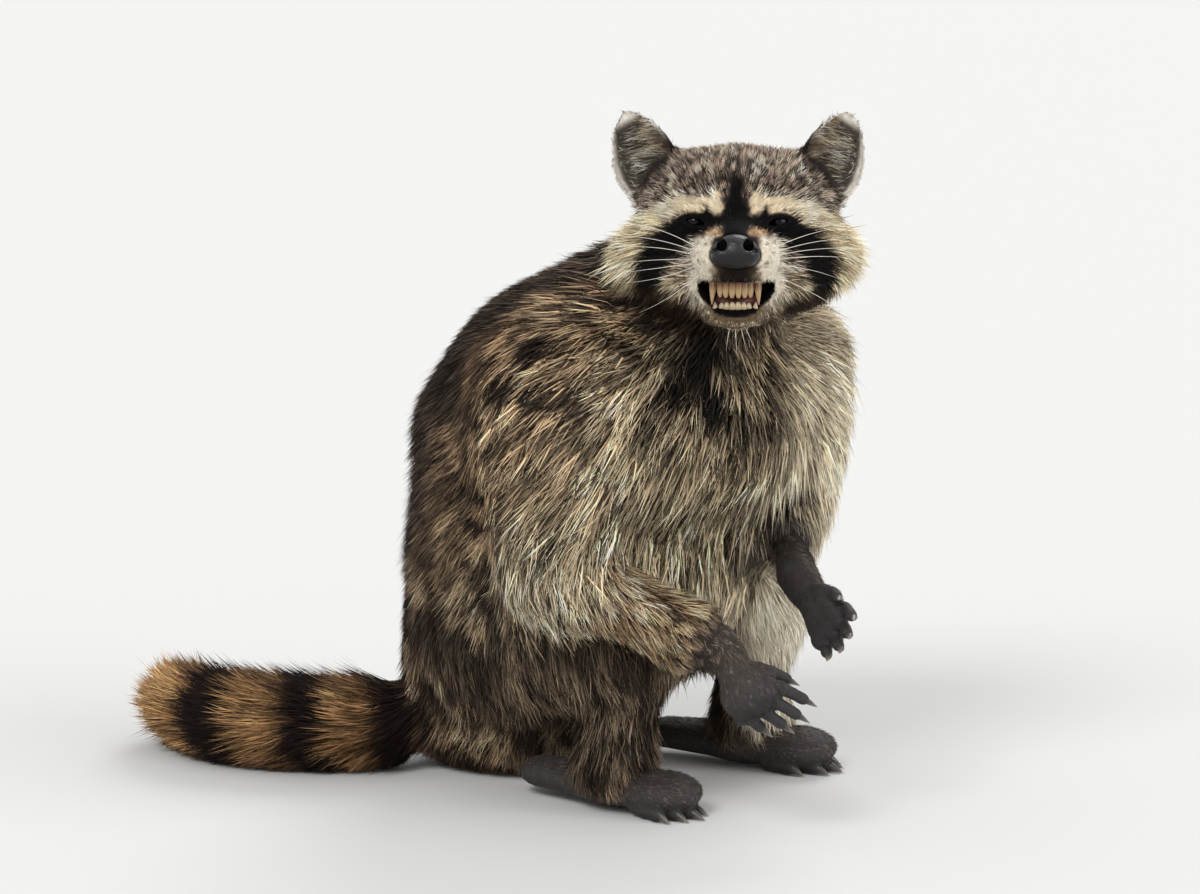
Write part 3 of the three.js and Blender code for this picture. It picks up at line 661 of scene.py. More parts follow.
def newObject(name, verts, faces, shade=True):
    # a mesh of faces with equally many corners, from points in the figure's millimetres
    mesh = bpy.data.meshes.new(name)
    verts, faces = np.asarray(verts, np.float32), np.asarray(faces, np.int32)
    size = faces.shape[1]
    mesh.vertices.add(len(verts))
    mesh.loops.add(faces.size)
    mesh.polygons.add(len(faces))
    mesh.vertices.foreach_set("co", ((verts + figureShift.astype(np.float32)) / 1000).ravel())
    mesh.loops.foreach_set("vertex_index", faces.ravel())
    mesh.polygons.foreach_set("loop_start", np.arange(0, faces.size, size, dtype=np.int32))
    mesh.polygons.foreach_set("use_smooth", np.full(len(faces), shade))
    mesh.update(calc_edges=True)
    mesh.validate()
    made = bpy.data.objects.new(name, mesh)
    bpy.context.scene.collection.objects.link(made)
    return made


def readPoints(mesh):
    # a mesh's points in the figure's millimetres
    co = np.empty(len(mesh.vertices) * 3, np.float32)
    mesh.vertices.foreach_get("co", co)
    return co.reshape(-1, 3) * 1000 - figureShift.astype(np.float32)


def readTriangles(mesh):
    # three point numbers for each triangle
    mesh.calc_loop_triangles()
    tris = np.empty(len(mesh.loop_triangles) * 3, np.int32)
    mesh.loop_triangles.foreach_get("vertices", tris)
    return tris.reshape(-1, 3)


def setColours(mesh, name, colours):
    # colours are as seen, from 0 to 1; the attribute holds them as light, by the curve of sRGB
    c = np.clip(colours, 0, 1)
    light = np.where(c <= 0.04045, c / 12.92, ((c + 0.055) / 1.055) ** 2.4)
    layer = mesh.color_attributes.new(name, "FLOAT_COLOR", "POINT")
    layer.data.foreach_set("color", np.c_[light, np.ones(len(light))].astype(np.float32).ravel())


def handsAndFace(p):
    # 1 on the face, ears, hands and feet, where the skin keeps all its points
    found = partDistances(p)
    ql = toLocal(headPlace, p)
    keep = (p[:, 2] > 250) * smooth(-ql[:, 1], -4, 26) * smooth(-np.abs(ql[:, 0]), -58, -46)
    for name, d in found.items():
        if name.startswith(("hand", "foot", "ear")):
            keep = np.maximum(keep, 1 - smooth(d, 1, 5))
    return keep


def makeSkin():
    # thins the grid's mesh, least on the face, hands and feet, and then moves each point onto the zero
    # surface: back along the field's slope by the distance over the slope's square
    skin = newObject("skin", points, quads)
    keep = handsAndFace(points.astype(np.float32))
    levels = np.round((1 - keep) * 10).astype(int)
    group = skin.vertex_groups.new(name="coarse")
    for level in range(11):
        chosen = np.flatnonzero(levels == level)
        if len(chosen):
            group.add(chosen.tolist(), level / 10, "REPLACE")
    thin = skin.modifiers.new("thin", "DECIMATE")
    thin.ratio = skinSettings["triangles"] / (2 * len(quads))
    thin.vertex_group = "coarse"
    thinned = bpy.data.meshes.new_from_object(skin.evaluated_get(bpy.context.evaluated_depsgraph_get()))
    skin.modifiers.clear()
    skin.vertex_groups.clear()
    skin.data = thinned
    thinned.name = "skin"
    p = readPoints(thinned)
    for _ in range(2):
        d, slope = skinField(p), gradient(skinField, p)
        step = d / np.maximum((slope ** 2).sum(1), 0.2)
        p = p - np.clip(step, -0.6, 0.6)[:, None] * slope
    thinned.vertices.foreach_set("co", ((p + figureShift.astype(np.float32)) / 1000).ravel())
    thinned.polygons.foreach_set("use_smooth", np.ones(len(thinned.polygons), bool))
    thinned.update()
    return skin


skin = makeSkin()
say(f"skin keeps {len(skin.data.vertices)} points and {len(skin.data.polygons)} faces")


# noise, clumps and paint

lattice = np.random.default_rng(7).random((32, 32, 32)).astype(np.float32)


def noise(p, size, shift=0.0):
    # random values on a lattice, blended smoothly between its corners, from 0 to 1
    q = p / size + shift
    cell = np.floor(q).astype(int)
    f = q - cell
    f = f * f * (3 - 2 * f)
    total = 0
    for corner in range(8):
        bits = np.array([corner & 1, corner >> 1 & 1, corner >> 2])
        weight = np.prod(np.where(bits, f, 1 - f), axis=1)
        total = total + weight * lattice[tuple(((cell + bits) % 32).T)]
    return total


def clumps(p, size):
    # the nearest of points scattered one to a cell of a lattice: the way to it, and its own random number
    cell = np.floor(p / size).astype(int)
    best = np.full(len(p), 1e9, np.float32)
    way = np.zeros_like(p)
    own = np.zeros(len(p), np.float32)
    for step in np.ndindex(3, 3, 3):
        c = cell + np.array(step) - 1
        jitter = np.stack([lattice[tuple(((c + k) % 32).T)] for k in (0, 11, 23)], 1)
        gap = (c + jitter) * size - p
        d = (gap ** 2).sum(1)
        nearer = d < best
        best[nearer], way[nearer] = d[nearer], gap[nearer]
        own[nearer] = lattice[tuple(((c[nearer] + 17) % 32).T)]
    return way, own


def tone(root, middle, tip, pepper=0.0):
    # the hair's colour at its root, its middle and its tip, of 255, and how much tufts differ from it
    return np.array([root, middle, tip, [255 * pepper] * 3], np.float32) / 255


tones = {
    "flank": tone((34, 27, 24), (156, 129, 100), (192, 164, 130), 1.0),
    "back": tone((32, 26, 24), (126, 101, 79), (154, 128, 102), 1.0),
    "shoulder": tone((36, 26, 21), (190, 132, 86), (216, 158, 108), 0.95),
    "spine": tone((24, 20, 19), (46, 39, 36), (58, 49, 45), 0.9),
    "blotch": tone((16, 13, 12), (32, 26, 23), (42, 34, 30), 0.3),
    "belly": tone((34, 28, 23), (202, 180, 145), (236, 220, 186), 1.0),
    "chest": tone((22, 18, 16), (100, 86, 69), (172, 154, 125), 1.0),
    "whorl": tone((12, 10, 9), (22, 18, 16), (30, 25, 22), 0.3),
    "pale": tone((164, 140, 110), (240, 219, 184), (252, 238, 208), 0.15),
    "thigh": tone((34, 28, 25), (114, 98, 80), (148, 129, 106), 0.9),
    "buff": tone((112, 92, 74), (222, 200, 170), (238, 220, 192), 0.4),
    "cuff": tone((48, 36, 27), (216, 173, 128), (244, 210, 168), 1.0),
    "hand": tone((44, 40, 39), (98, 90, 84), (118, 109, 101), 0.12),
    "pad": tone((34, 30, 31), (48, 44, 45), (58, 53, 54)),
    "tailTan": tone((70, 46, 31), (184, 136, 89), (212, 165, 114), 0.6),
    "tailDark": tone((22, 17, 16), (32, 25, 23), (40, 31, 28), 0.2),
    "crown": tone((30, 24, 22), (150, 126, 110), (226, 203, 181), 1.0),
    "mask": tone((10, 9, 9), (18, 16, 16), (26, 23, 22)),
    "cream": tone((206, 184, 150), (247, 233, 205), (253, 245, 224)),
    "ruff": tone((200, 172, 132), (248, 223, 178), (252, 235, 198), 0.35),
    "sleeve": tone((44, 34, 26), (228, 190, 146), (246, 220, 180), 1.0),
    "saddle": tone((40, 33, 28), (196, 166, 132), (224, 196, 160), 1.0),
    "muzzle": tone((214, 202, 182), (240, 232, 212), (246, 240, 224)),
    "bridge": tone((150, 116, 86), (214, 174, 134), (226, 190, 150)),
    "cheek": tone((88, 72, 56), (192, 172, 138), (226, 210, 178), 0.6),
    # painted shade: under the cheeks and the head, along the jaw, near the floor and by the ears' roots
    "beard": tone((24, 17, 14), (44, 33, 26), (62, 47, 37), 0.3),
    "underNose": tone((26, 22, 20), (48, 41, 37), (66, 58, 52), 0.2),
    "lip": tone((6, 5, 5), (8, 7, 7), (10, 8, 8)),
    "gum": tone((60, 24, 22), (70, 28, 25), (80, 34, 30)),
    "earInside": tone((58, 53, 47), (158, 147, 127), (236, 226, 203), 1.0),
    "earFringe": tone((112, 92, 72), (204, 186, 158), (230, 216, 192), 0.5),
    "earRim": tone((222, 214, 202), (244, 240, 230), (250, 247, 240)),
    "earBack": tone((46, 38, 34), (104, 88, 76), (150, 134, 116), 0.6),
}


def stroke(x, z, points, soft=2.5):
    # 1 within the width of a line through points of (x, z, half width), fading over soft
    best = np.full(len(x), 1e9, np.float32)
    for (x0, z0, r0), (x1, z1, r1) in zip(points, points[1:]):
        dx, dz = x1 - x0, z1 - z0
        t = np.clip(((x - x0) * dx + (z - z0) * dz) / max(dx * dx + dz * dz, 1e-6), 0, 1)
        best = np.minimum(best, np.hypot(x - x0 - dx * t, z - z0 - dz * t) - r0 - (r1 - r0) * t)
    return 1 - smooth(best, -soft / 2, soft / 2)


def partShares(found, reach=5.0):
    # how much each point belongs to each part, all shares adding to 1
    names = list(found)
    d = np.stack([found[name] for name in names])
    w = np.exp(-np.minimum((d - d.min(0)) / reach, 30))
    w /= w.sum(0)
    return lambda start: sum(w[i] for i, name in enumerate(names) if name.startswith(start))


def lipRise(h):
    # how much further from the mouth the bare lip reaches on the front of the lower jaw
    return 2.6 * smooth(-h[:, 2], 44, 48) * (1 - smooth(np.abs(h[:, 0]), 9, 15))


def earSpot(p, s):
    # for each point near an ear: 1 inside its cup, the share across it from its inner edge, and the height
    x, y, z = toLocal(earPlaces[s], p).T
    w, d, wall = earSizes(z)
    inside = smooth(-(np.hypot(x / w, (y + 0.6 * d) / d) - 1 + 0.15 * wall / d), 0, 0.06)
    return inside, x * s / w, z


# x, z and radius of the dark spots of the parting
whorlSpots = [(58, 271, 7.2), (53, 257, 7.4), (43, 249, 5), (61.5, 243, 8.4)]

# height, x and y of the middle of the trunk
trunkLine = [(80, 142, 218, 250, 300), (-32, -8, 8, 20, 62), (58, 34, 20, 10, -16)]


def paintTrunk(paint, p, share, wobble):
    # tan flanks, a rusty shoulder, blotches, a near black back, and long pale fur below and in front
    # the pale fur towards +x is partly painted light, and the parting and the left elbow get painted shade
    q, c = toLocal(belly, p), toLocal(chest, p)
    back, z, ahead = q[:, 1] + wobble, p[:, 2] + wobble, p[:, 0] + wobble * 0.4
    paint("shoulder", bump(z, 262, 44) * bump(q[:, 0], -60, 50) * smooth(back, -40, 0))
    edge = 8 - 0.72 * (p[:, 2] - 131)
    paint("belly", smooth(edge - back, -14, 18) * smooth(z, 50, 110))
    spots = noise(p * np.array([0.7, 0.7, 1.2], np.float32), 9.5, 9.1) + 0.35 * noise(p, 4, 1.7)
    paint("blotch", smooth(spots, 0.68, 0.78) * smooth(back - edge, -34, 6) * 0.95)
    # degrees round the trunk from the middle of the back
    middle = np.stack([np.interp(p[:, 2], trunkLine[0], line) for line in trunkLine[1:]], 1)
    out = unitRows(p[:, :2] - middle)
    around = np.degrees(np.arccos(np.clip(out @ np.array([-0.75, 0.66]), -1, 1))) + wobble * 0.5
    paint("back", (1 - smooth(around, 60, 96)) * 0.8)
    paint("spine", (1 - smooth(around, 50, 70)) * (0.5 + 0.4 * smooth(around, 12, 42)))
    chestway = np.hypot((p[:, 0] - 66) / 50, (p[:, 2] - 246) / 44) + wobble * 0.012
    paint("chest", (1 - smooth(chestway, 0.6, 1.2)) * smooth(-c[:, 1], 10, 50))
    # partly pale fur and partly painted light, on the side towards +x
    paint("pale", smooth(ahead, 84, 108) * smooth(z, 110, 150) * smooth(-c[:, 1], -40, 0)
          * (1 - smooth(p[:, 2], 290, 312)) * (1 - 0.3 * smooth(z, 205, 235)))
    paint("buff", smooth(ahead, 50, 80) * (1 - smooth(z, 110, 150)) * smooth(-back, -60, 0) * 0.8)
    paint("sleeve", bump(z, 204, 32) * bump(p[:, 0], -10, 34) * smooth(-q[:, 1], 10, 50)
          * (share("trunk") + share("upperArm")) * 0.75)
    patches = noise(p * np.array([1.2, 1.2, 0.75], np.float32), 11, 7.7)
    low = ((share("trunk") + share("thigh")) * (1 - smooth(z, 128, 165)) * smooth(q[:, 1], -76, -26)
           * smooth(around, 38, 56))
    paint("saddle", low * smooth(patches, 0.52, 0.62))
    paint("blotch", low * (1 - smooth(patches, 0.36, 0.44)) * 0.9)
    # dark spots on the chest's parting with painted shade along it, and painted shade behind the left elbow
    x, z, front = p[:, 0] + wobble * 0.15, p[:, 2], (c[:, 1] < 0) * share("trunk")
    parting = [(spotX, spotZ, 2.5) for spotX, spotZ, r in whorlSpots]
    paint("whorl", stroke(x, z, parting, 10) * front * 0.5)
    for spotX, spotZ, r in whorlSpots:
        paint("whorl", stroke(x, z, [(spotX, spotZ, r), (spotX + 1, spotZ - 3, r)], 3) * front)
    gap = (p - armSettings["left"]["elbow"] - np.array([6, -34, 14])) * np.array([1, 0.5, 1])
    paint("whorl", (1 - smooth(np.linalg.norm(gap, axis=1) + wobble * 0.4, 12, 24)) * share("trunk"))


def paintLegs(paint, p, share, wobble):
    # blotched thighs, a cream left leg that is partly painted light, painted shade, and dark feet with near
    # black pads
    thigh = share("thigh") + share("shank")
    patches = noise(p * np.array([1.3, 1.3, 0.6], np.float32), 12, 6.4)
    paint("thigh", thigh * 0.9)
    paint("blotch", thigh * smooth(patches, 0.5, 0.62) * 0.8)
    # painted shade on the top of the right thigh, under the arm
    paint("blotch", thigh * smooth(p[:, 2], 84, 104) * (1 - smooth(p[:, 0], 20, 50)) * 0.7)
    paint("buff", thigh * smooth(toLocal(pelvis, p)[:, 0], 40, 66) * 0.7)
    # the cream on the left leg's outer side is partly its own pale fur and partly painted light
    paint("cream", 1.5 * thigh * smooth(p[:, 0] + wobble * 0.4, 70, 88) * smooth(p[:, 2], 14, 50))
    # painted shade on the shanks and the trunk near the floor
    paint("beard", (1 - smooth(p[:, 2], 6, 34)) * (share("shank") + share("trunk")) * 0.5)
    for name in legs:
        paint("hand", smooth(share("foot" + name.title()), 0.3, 0.8))
    paint("pad", share("foot") * smooth(-p[:, 2], -4.5, -2))


def paintArms(paint, p, share, wobble):
    # a tan cuff on the right and a near black one on the left, and dark hands with near black pads
    for name, arm in armSettings.items():
        own, hand = share("forearm" + name.title()), share("hand" + name.title())
        t, furred = alongArm(p, arm), arm["furred"]
        if name == "right":
            paint("cuff", own * smooth(t + wobble * 0.01, furred - 0.85, furred - 0.45) * 0.95)
        else:
            paint("mask", own * smooth(t + wobble * 0.01, furred - 0.5, furred - 0.2) * 0.9)
        paint("hand", own * smooth(t, furred - 0.06, furred + 0.1))
        paint("hand", hand)
        up, own = toLocal(arm["place"], p), smooth(hand, 0.3, 0.8)
        paint("pad", own * smooth(-up[:, 1], -6, 8) * 0.8)
        paint("pad", own * smooth(-up[:, 2], 0.5, 2.5))
        paint("pad", own * smooth(-up[:, 1], 2, 10))


# middle and half width of each dark ring, as shares of the tail's length
tailRings = [(0.13, 0.105), (0.365, 0.055), (0.59, 0.07), (0.95, 0.1)]


def paintTail(paint, p, share):
    # tan with dark rings and a dark tip, darker along its top, and painted shade underneath, near the floor
    ring = alongTail(p)[0] + (noise(p, 12, 5.5) - 0.5) * 0.035
    own = smooth(share("tail"), 0.25, 0.75)
    paint("tailTan", own)
    dark = np.max([bump(ring, middle, width) for middle, width in tailRings], axis=0)
    paint("tailDark", own * smooth(dark, 0.35, 0.62))
    paint("tailDark", own * smooth(p[:, 2], 40, 54) * 0.55)
    # painted shade under the tail, near the floor
    paint("tailDark", own * (1 - smooth(p[:, 2], 2, 14)) * 0.6)


# lines on the face, as points of x, z and half width and how far they fade; x counts from the middle
faceLines = {
    "brow": ([(17, 8.8, 4.6), (28, 7.4, 5.3), (37, 4.2, 6), (45, -1.4, 7.4)], 4),
    "cheekEdge": ([(45, -2, 6.8), (53, -10, 8.5), (58, -20, 9.5), (59, -32, 8.5)], 5),
    "browRoot": ([(11, 13.5, 3), (11, 8, 3.8), (10, 2.8, 2.2)], 2.6),
    "browGap": ([(15.2, 1, 2), (15.8, 8, 0.5)], 2),
    "mask": ([(13, 0, 2.4), (22, -2.5, 4.2), (30, -6.8, 7), (36, -13.4, 9), (40, -21.4, 9),
              (43, -31, 6)], 4),
    "bridge": ([(9, -6.5, 2.2), (15, -6.5, 2.6)], 3),
    "blaze": ([(0, 40, 0.5), (0, 34, 1.2), (0, 22, 2.6), (0, 12, 4), (0, 3, 5.8), (0, -8, 6)], 3),
    "maskRoot": ([(6, 0, 3.4), (14, -0.5, 2.4)], 3),
    "muzzle": ([(15, -10.5, 3), (18.5, -15, 6.5), (19.5, -24, 8), (20, -31, 6), (22.5, -37, 4.5),
                (21, -45, 3.6), (16, -52, 3)], 4),
    "underNose": ([(0, -24, 8), (0, -33, 10)], 8),
    "jaw": ([(13, -55, 2.4), (24, -48, 4.2), (38, -41, 5), (54, -34, 3.6)], 4),
    "leftJaw": ([(30, -46, 4), (42, -38, 5)], 4),
    "chin": ([(0, -55.5, 4), (10, -54.5, 4), (17, -49, 3)], 3),
    "earRoot": ([(37, 42, 3), (41, 32, 5), (50, 22, 4)], 6),
}

# x and z of the spots that the whiskers grow from
whiskerSpots = [(20, -12), (16.4, -12.4), (20.4, -17), (19.4, -22.4), (16.4, -23)]


def paintHead(paint, p, share, found):
    # a brown crown, a black mask and blaze between cream brows, a white muzzle, and cream cheeks
    h = toLocal(headPlace, p)
    hy = h[:, 1]
    grain = (noise(p, 3.5, 2.2) - 0.5) * 3
    x, z = np.abs(h[:, 0]) + grain, h[:, 2] + grain * 0.7
    line = lambda key: stroke(x, z, *faceLines[key])
    head = smooth(share("head"), 0.2, 0.8)
    front = head * (1 - smooth(hy, 4, 30))
    paint("crown", head)
    paint("spine", head * smooth(hy, 20, 60) * 0.35)
    paint("cheek", front * smooth(x, 38, 54) * smooth(-z, -12, 4))
    paint("cheek", front * smooth(-z, 16, 32))
    paint("blotch", front * smooth(x + z * 0.2, 60, 74) * smooth(noise(p, 5, 4.4), 0.55, 0.7) * 0.5)
    paint("cream", front * line("brow"))
    paint("ruff", front * line("cheekEdge"))
    paint("cream", front * line("browRoot"))
    paint("mask", front * line("browGap"))
    paint("mask", front * line("mask"))
    paint("bridge", front * line("bridge") * smooth(-hy, 30, 42) * 0.9)
    paint("mask", front * line("blaze") * (0.55 + 0.45 * smooth(-z, -34, -14)))
    paint("mask", front * line("maskRoot"))
    paint("muzzle", front * line("muzzle") * smooth(-hy, 26, 38))
    paint("underNose", front * smooth(-hy, 58, 68) * line("underNose") * 0.95)
    # painted shade along the jaw, under the cheeks
    paint("beard", (1 - smooth(hy, 6, 26)) * line("jaw") * 0.85)
    # painted shade on the left side of the jaw
    paint("beard", front * stroke(h[:, 0], z, *faceLines["leftJaw"]) * 0.7)
    paint("cheek", front * smooth(-hy, 40, 54) * line("chin") * 0.8)
    # painted shade on the trunk just under the head
    paint("beard", share("trunk") * (1 - smooth(found["head"], 5, 17)) * (1 - smooth(hy, 16, 40)) * 0.95)
    nearSlit = np.minimum.reduce([fissure(p) for fissure in fissures])
    paint("mask", front * (1 - smooth(nearSlit, 2.2, 4.2)))
    ears = [smooth(share("ear" + name), 0.3, 0.8) for name in ("Right", "Left")]
    paint("mask", head * line("earRoot") * 0.85 * (1 - np.maximum(*ears)))
    for s, own in zip((-1, 1), ears):
        inside, across, rise = earSpot(p, s)
        out = 1 - inside
        rim = (smooth(np.abs(across), 0.8 - 0.35 * out, 0.92 - 0.25 * out)
               + smooth(rise, 37 - 5 * out, 42 - 4 * out))
        paint("earBack", own)
        paint("earInside", own * inside)
        paint("earFringe", own * inside * (1 - smooth(across, -0.6, -0.2)))
        root = 1 - smooth(rise + grain * 2, 10, 26)
        # painted shade along the ear's inner edge near its root
        paint("beard", own * (1 - smooth(across, -0.9, -0.3)) * root * 0.9)
        paint("mask", own * out * (1 - smooth(rise, 6, 22)) * 0.8)
        paint("earRim", own * np.clip(rim, 0, 1) * smooth(across + rise * 0.03, -0.6, 0.1))
    for spotX, spotZ in whiskerSpots:
        spot = 1 - smooth(np.hypot(x - spotX, z - spotZ), 0.4, 1.0)
        paint("mask", front * smooth(-hy, 30, 40) * spot * 0.6)
    # the lips, the skin round the nose, and the inside of the mouth
    near = share("head") > 0.5
    paint("lip", near * (hy < -26) * (1 - smooth(mouthRoom(p) + grain * 0.2 - lipRise(h), 0.9, 1.9)))
    paint("lip", near * (1 - smooth(noseDistance(p), 0.3, 1.6)))
    paint("gum", near * (hy < -20) * (1 - smooth(hollow(p), 0.2, 0.9)) * smooth(hy, -74, -64))


def markings(p, found):
    # the colours of the hair at each point, as root, middle and tip, painted over each other:
    # each coat of paint is mixed in by its mask
    share = partShares(found)
    colour = np.repeat(tones["flank"][None], len(p), 0)

    def paint(name, mask):
        nonlocal colour
        m = np.clip(mask, 0, 1).astype(np.float32)[:, None, None]
        colour = colour * (1 - m) + tones[name][None] * m

    wobble = (noise(p, 26) - 0.5) * 26 + (noise(p, 11, 3.3) - 0.5) * 10
    paintTrunk(paint, p, share, wobble)
    paintLegs(paint, p, share, wobble)
    paintArms(paint, p, share, wobble)
    paintTail(paint, p, share)
    paintHead(paint, p, share, found)
    return colour


def lieOf(p, n, found):
    # the way the hair lies on the surface: down and back on the trunk, away from the nose on the head,
    # down the limbs and along the tail
    share = partShares(found, 8.0)
    h = toLocal(headPlace, p)
    body = share("trunk") + 0.9 * share("upperArm")
    way = (unitRows(p - at(headPlace, 0, 18, -34)) + np.array([0, 0, -0.14])) * body[:, None]
    muzzle = np.stack([h[:, 0] * 1.15, h[:, 1] + 92, (h[:, 2] + 14) * 1.1], 1)
    muzzle /= np.linalg.norm(muzzle, axis=1)[:, None]
    droop = smooth(np.abs(h[:, 0]), 30, 60) * 0.7 + smooth(-h[:, 2], 20, 44) * 0.5
    muzzle[:, 2] -= droop
    muzzle[:, 1] += 0.5 * smooth(h[:, 2], 8, 30)
    way += (muzzle @ headPlace[0].T) * share("head")[:, None]
    _, tangent = alongTail(p)
    way += tangent * share("tail")[:, None]
    for name, leg in legs.items():
        down = (leg["knee"] - leg["hip"]) / 90 * 0.45 + np.array([0, 0, -1.0])
        way += down * share("thigh" + name.title())[:, None]
        way += np.array([0, 0, -1.0]) * share("shank" + name.title())[:, None]
        way += -leg["place"][0][:, 1] * share("foot" + name.title())[:, None]
    for name, arm in armSettings.items():
        side = name.title()
        upper, lower = arm["elbow"] - arm["shoulder"], arm["wrist"] - arm["elbow"]
        way += upper / np.linalg.norm(upper) * 0.15 * share("upperArm" + side)[:, None]
        way += (lower / np.linalg.norm(lower) + np.array([0, 0, -0.5])) * share("forearm" + side)[:, None]
        way += -arm["place"][0][:, 1] * share("hand" + side)[:, None]
    for s, name in ((-1, "Right"), (1, "Left")):
        inside, across, _ = earSpot(p, s)
        fan = inside * (1 - smooth(across, 0.5, 0.85))
        local = np.stack([s * fan - across * s * 0.3 * (1 - inside), np.zeros(len(p)), 1 - 0.75 * fan], 1)
        way += (local @ earPlaces[s][0].T) * share("ear" + name)[:, None]
    way += np.stack([noise(p, 22, 1.1) - 0.5, noise(p, 22, 6.1) - 0.5, noise(p, 22, 8.7) - 0.5], 1) * 0.5
    way -= (way * n).sum(1)[:, None] * n
    return way / np.maximum(np.linalg.norm(way, axis=1), 1e-6)[:, None]


# length and width in mm, lift from the skin in degrees, tufts for each 100 mm2, size of a clump in mm
coatSettings = {
    "trunk": (13.5, 1.0, 13, 116, 7), "head": (10, 0.9, 14, 150, 4), "ear": (4, 0.5, 13, 200, 4),
    "tail": (24, 1.4, 22, 88, 7), "thigh": (20, 1.25, 13, 78, 9), "shank": (15, 1.2, 13, 76, 8),
    "foot": (5.5, 0.8, 10, 80, 4), "upperArm": (13.5, 1.0, 13, 116, 7), "forearm": (14, 1.1, 15, 100, 8),
    "hand": (4.6, 0.6, 11, 110, 3),
}


def coatShape(p, found):
    # the coat's settings at each point, blended between parts, with the changes within a part
    share = partShares(found, 4.0)
    length, width, lift, density, clump = (
        sum(share(name) * values[i] for name, values in coatSettings.items()) for i in range(5))
    q, h = toLocal(belly, p), toLocal(headPlace, p)
    body = share("trunk") + share("upperArm")
    front = smooth(-q[:, 1], -8, 46) * body
    upper = smooth(p[:, 2], 190, 245)
    length += (17 - 8 * upper) * front
    width += 0.2 * front
    density -= 20 * front
    clump += 3 * front
    lift += 5 * front * smooth(p[:, 2], 150, 240)
    side = smooth(-p[:, 0], 66, 96) * share("trunk") * smooth(p[:, 2], 100, 150)
    length += 6 * side
    lift += 4 * side
    head = share("head")
    face = smooth(-h[:, 1], 22, 50)
    cheek = smooth(np.abs(h[:, 0]), 36, 60) * smooth(-h[:, 2], -14, 6)
    length += head * (-6.5 * face + 12 * cheek + 10 * smooth(h[:, 1], 20, 60)
                      + 8 * smooth(-h[:, 2], 34, 56) * (1 - face))
    lift += head * (9 * cheek - 4 * face)
    width += head * (0.5 * cheek - 0.35 * face + 0.5 * smooth(h[:, 1], 20, 60))
    density += head * (90 * face - 20 * smooth(h[:, 1], 10, 50))
    crown = head * smooth(h[:, 2], 9, 18) * (1 - smooth(h[:, 1], 10, 40))
    length -= 2.5 * crown * (1 - face)
    width -= 0.25 * crown * (1 - 0.6 * face)
    density += 90 * crown
    bridge = head * face * (1 - smooth(np.abs(h[:, 0]), 10, 18)) * smooth(h[:, 2], -14, -6)
    length += 1.8 * bridge
    for s, name in ((-1, "earRight"), (1, "earLeft")):
        inside, across, rise = earSpot(p, s)
        fringe = share(name) * inside * (1 - smooth(across, -0.2, 0.6)) * (1 - smooth(rise, 22, 42))
        length += 7.5 * fringe
        lift += 6 * fringe
        rim = (share(name) * np.clip(smooth(np.abs(across), 0.7, 0.92) + smooth(rise, 32, 39), 0, 1)
               * (1 - fringe))
        length -= 2.3 * rim
        lift -= 6 * rim
    for name, arm in armSettings.items():
        t, up = alongArm(p, arm), toLocal(arm["place"], p)
        hand, forearm = share("hand" + name.title()), share("forearm" + name.title())
        bare = forearm * smooth(t, arm["furred"] - 0.12, arm["furred"] + 0.08)
        bone = arm["elbow"] + np.clip(t, -0.3, 1)[:, None] * (arm["wrist"] - arm["elbow"])
        own = forearm + share("upperArm" + name.title()) * smooth(t, -0.8, -0.1)
        length *= 1 - 0.5 * own * smooth(bone[:, 2] - p[:, 2], 4, 26)
        length -= bare * 8.5
        width -= bare * 0.4
        density += bare * 30
        density *= 1 - hand * smooth(-up[:, 2], 0, 2)
        density *= 1 - hand * smooth(-up[:, 1], 6, 12)
    low = smooth(p[:, 2], 1, 24)
    length *= 0.35 + 0.65 * low
    density *= smooth(p[:, 2], 0.8, 2.5)
    # none in the mouth, on the nose, the lids' edges or the claws
    mouth = mouthRoom(p)
    density *= smooth(mouth - lipRise(h), 0.7, 1.6)
    length = np.where(mouth < 9, np.minimum(length, 2 + 0.8 * np.maximum(mouth, 0)), length)
    near = np.minimum.reduce([fissure(p) for fissure in fissures])
    density *= smooth(near, 1.2, 3)
    density *= 1 - (h[:, 1] < -72) * (1 - smooth(noseDistance(p), 0.5, 2))
    return length, np.maximum(width, 0.5), np.radians(lift), np.maximum(density, 0) / 100, clump


# nose: a pad with wings and two comma-shaped nostrils

noseDistance = union([
    ellipsoid(headPlace, (0, -83, -18), (11.4, 10, 8)),
    ellipsoid(headPlace, (0, -82.5, -14), (9.4, 9, 6.6)),
    *pair(lambda s: ellipsoid(headPlace, (s * 7.8, -84, -18), (5.2, 7.6, 5.8))),
], 4)


# coat

def unwrapOf(name, corners):
    # flattens the skin's own faces, given as three corners each, and returns a place for each corner
    sheet = newObject(name, corners.reshape(-1, 3), np.arange(len(corners) * 3).reshape(-1, 3))
    bpy.ops.object.select_all(action="DESELECT")
    bpy.context.view_layer.objects.active = sheet
    sheet.select_set(True)
    bpy.ops.object.mode_set(mode="EDIT")
    bpy.ops.mesh.select_all(action="SELECT")
    bpy.ops.mesh.remove_doubles(threshold=1e-6)
    bpy.ops.uv.smart_project(angle_limit=math.radians(66), island_margin=0.004)
    bpy.ops.object.mode_set(mode="OBJECT")
    mesh = sheet.data
    uv = np.empty(len(mesh.loops) * 2, np.float32)
    mesh.uv_layers.active.data.foreach_get("uv", uv)
    uv = uv.reshape(-1, 3, 2)
    low, high = uv.reshape(-1, 2).min(0), uv.reshape(-1, 2).max(0)
    bpy.data.objects.remove(sheet)
    return (uv - low) / (high - low) * 0.99 + 0.003


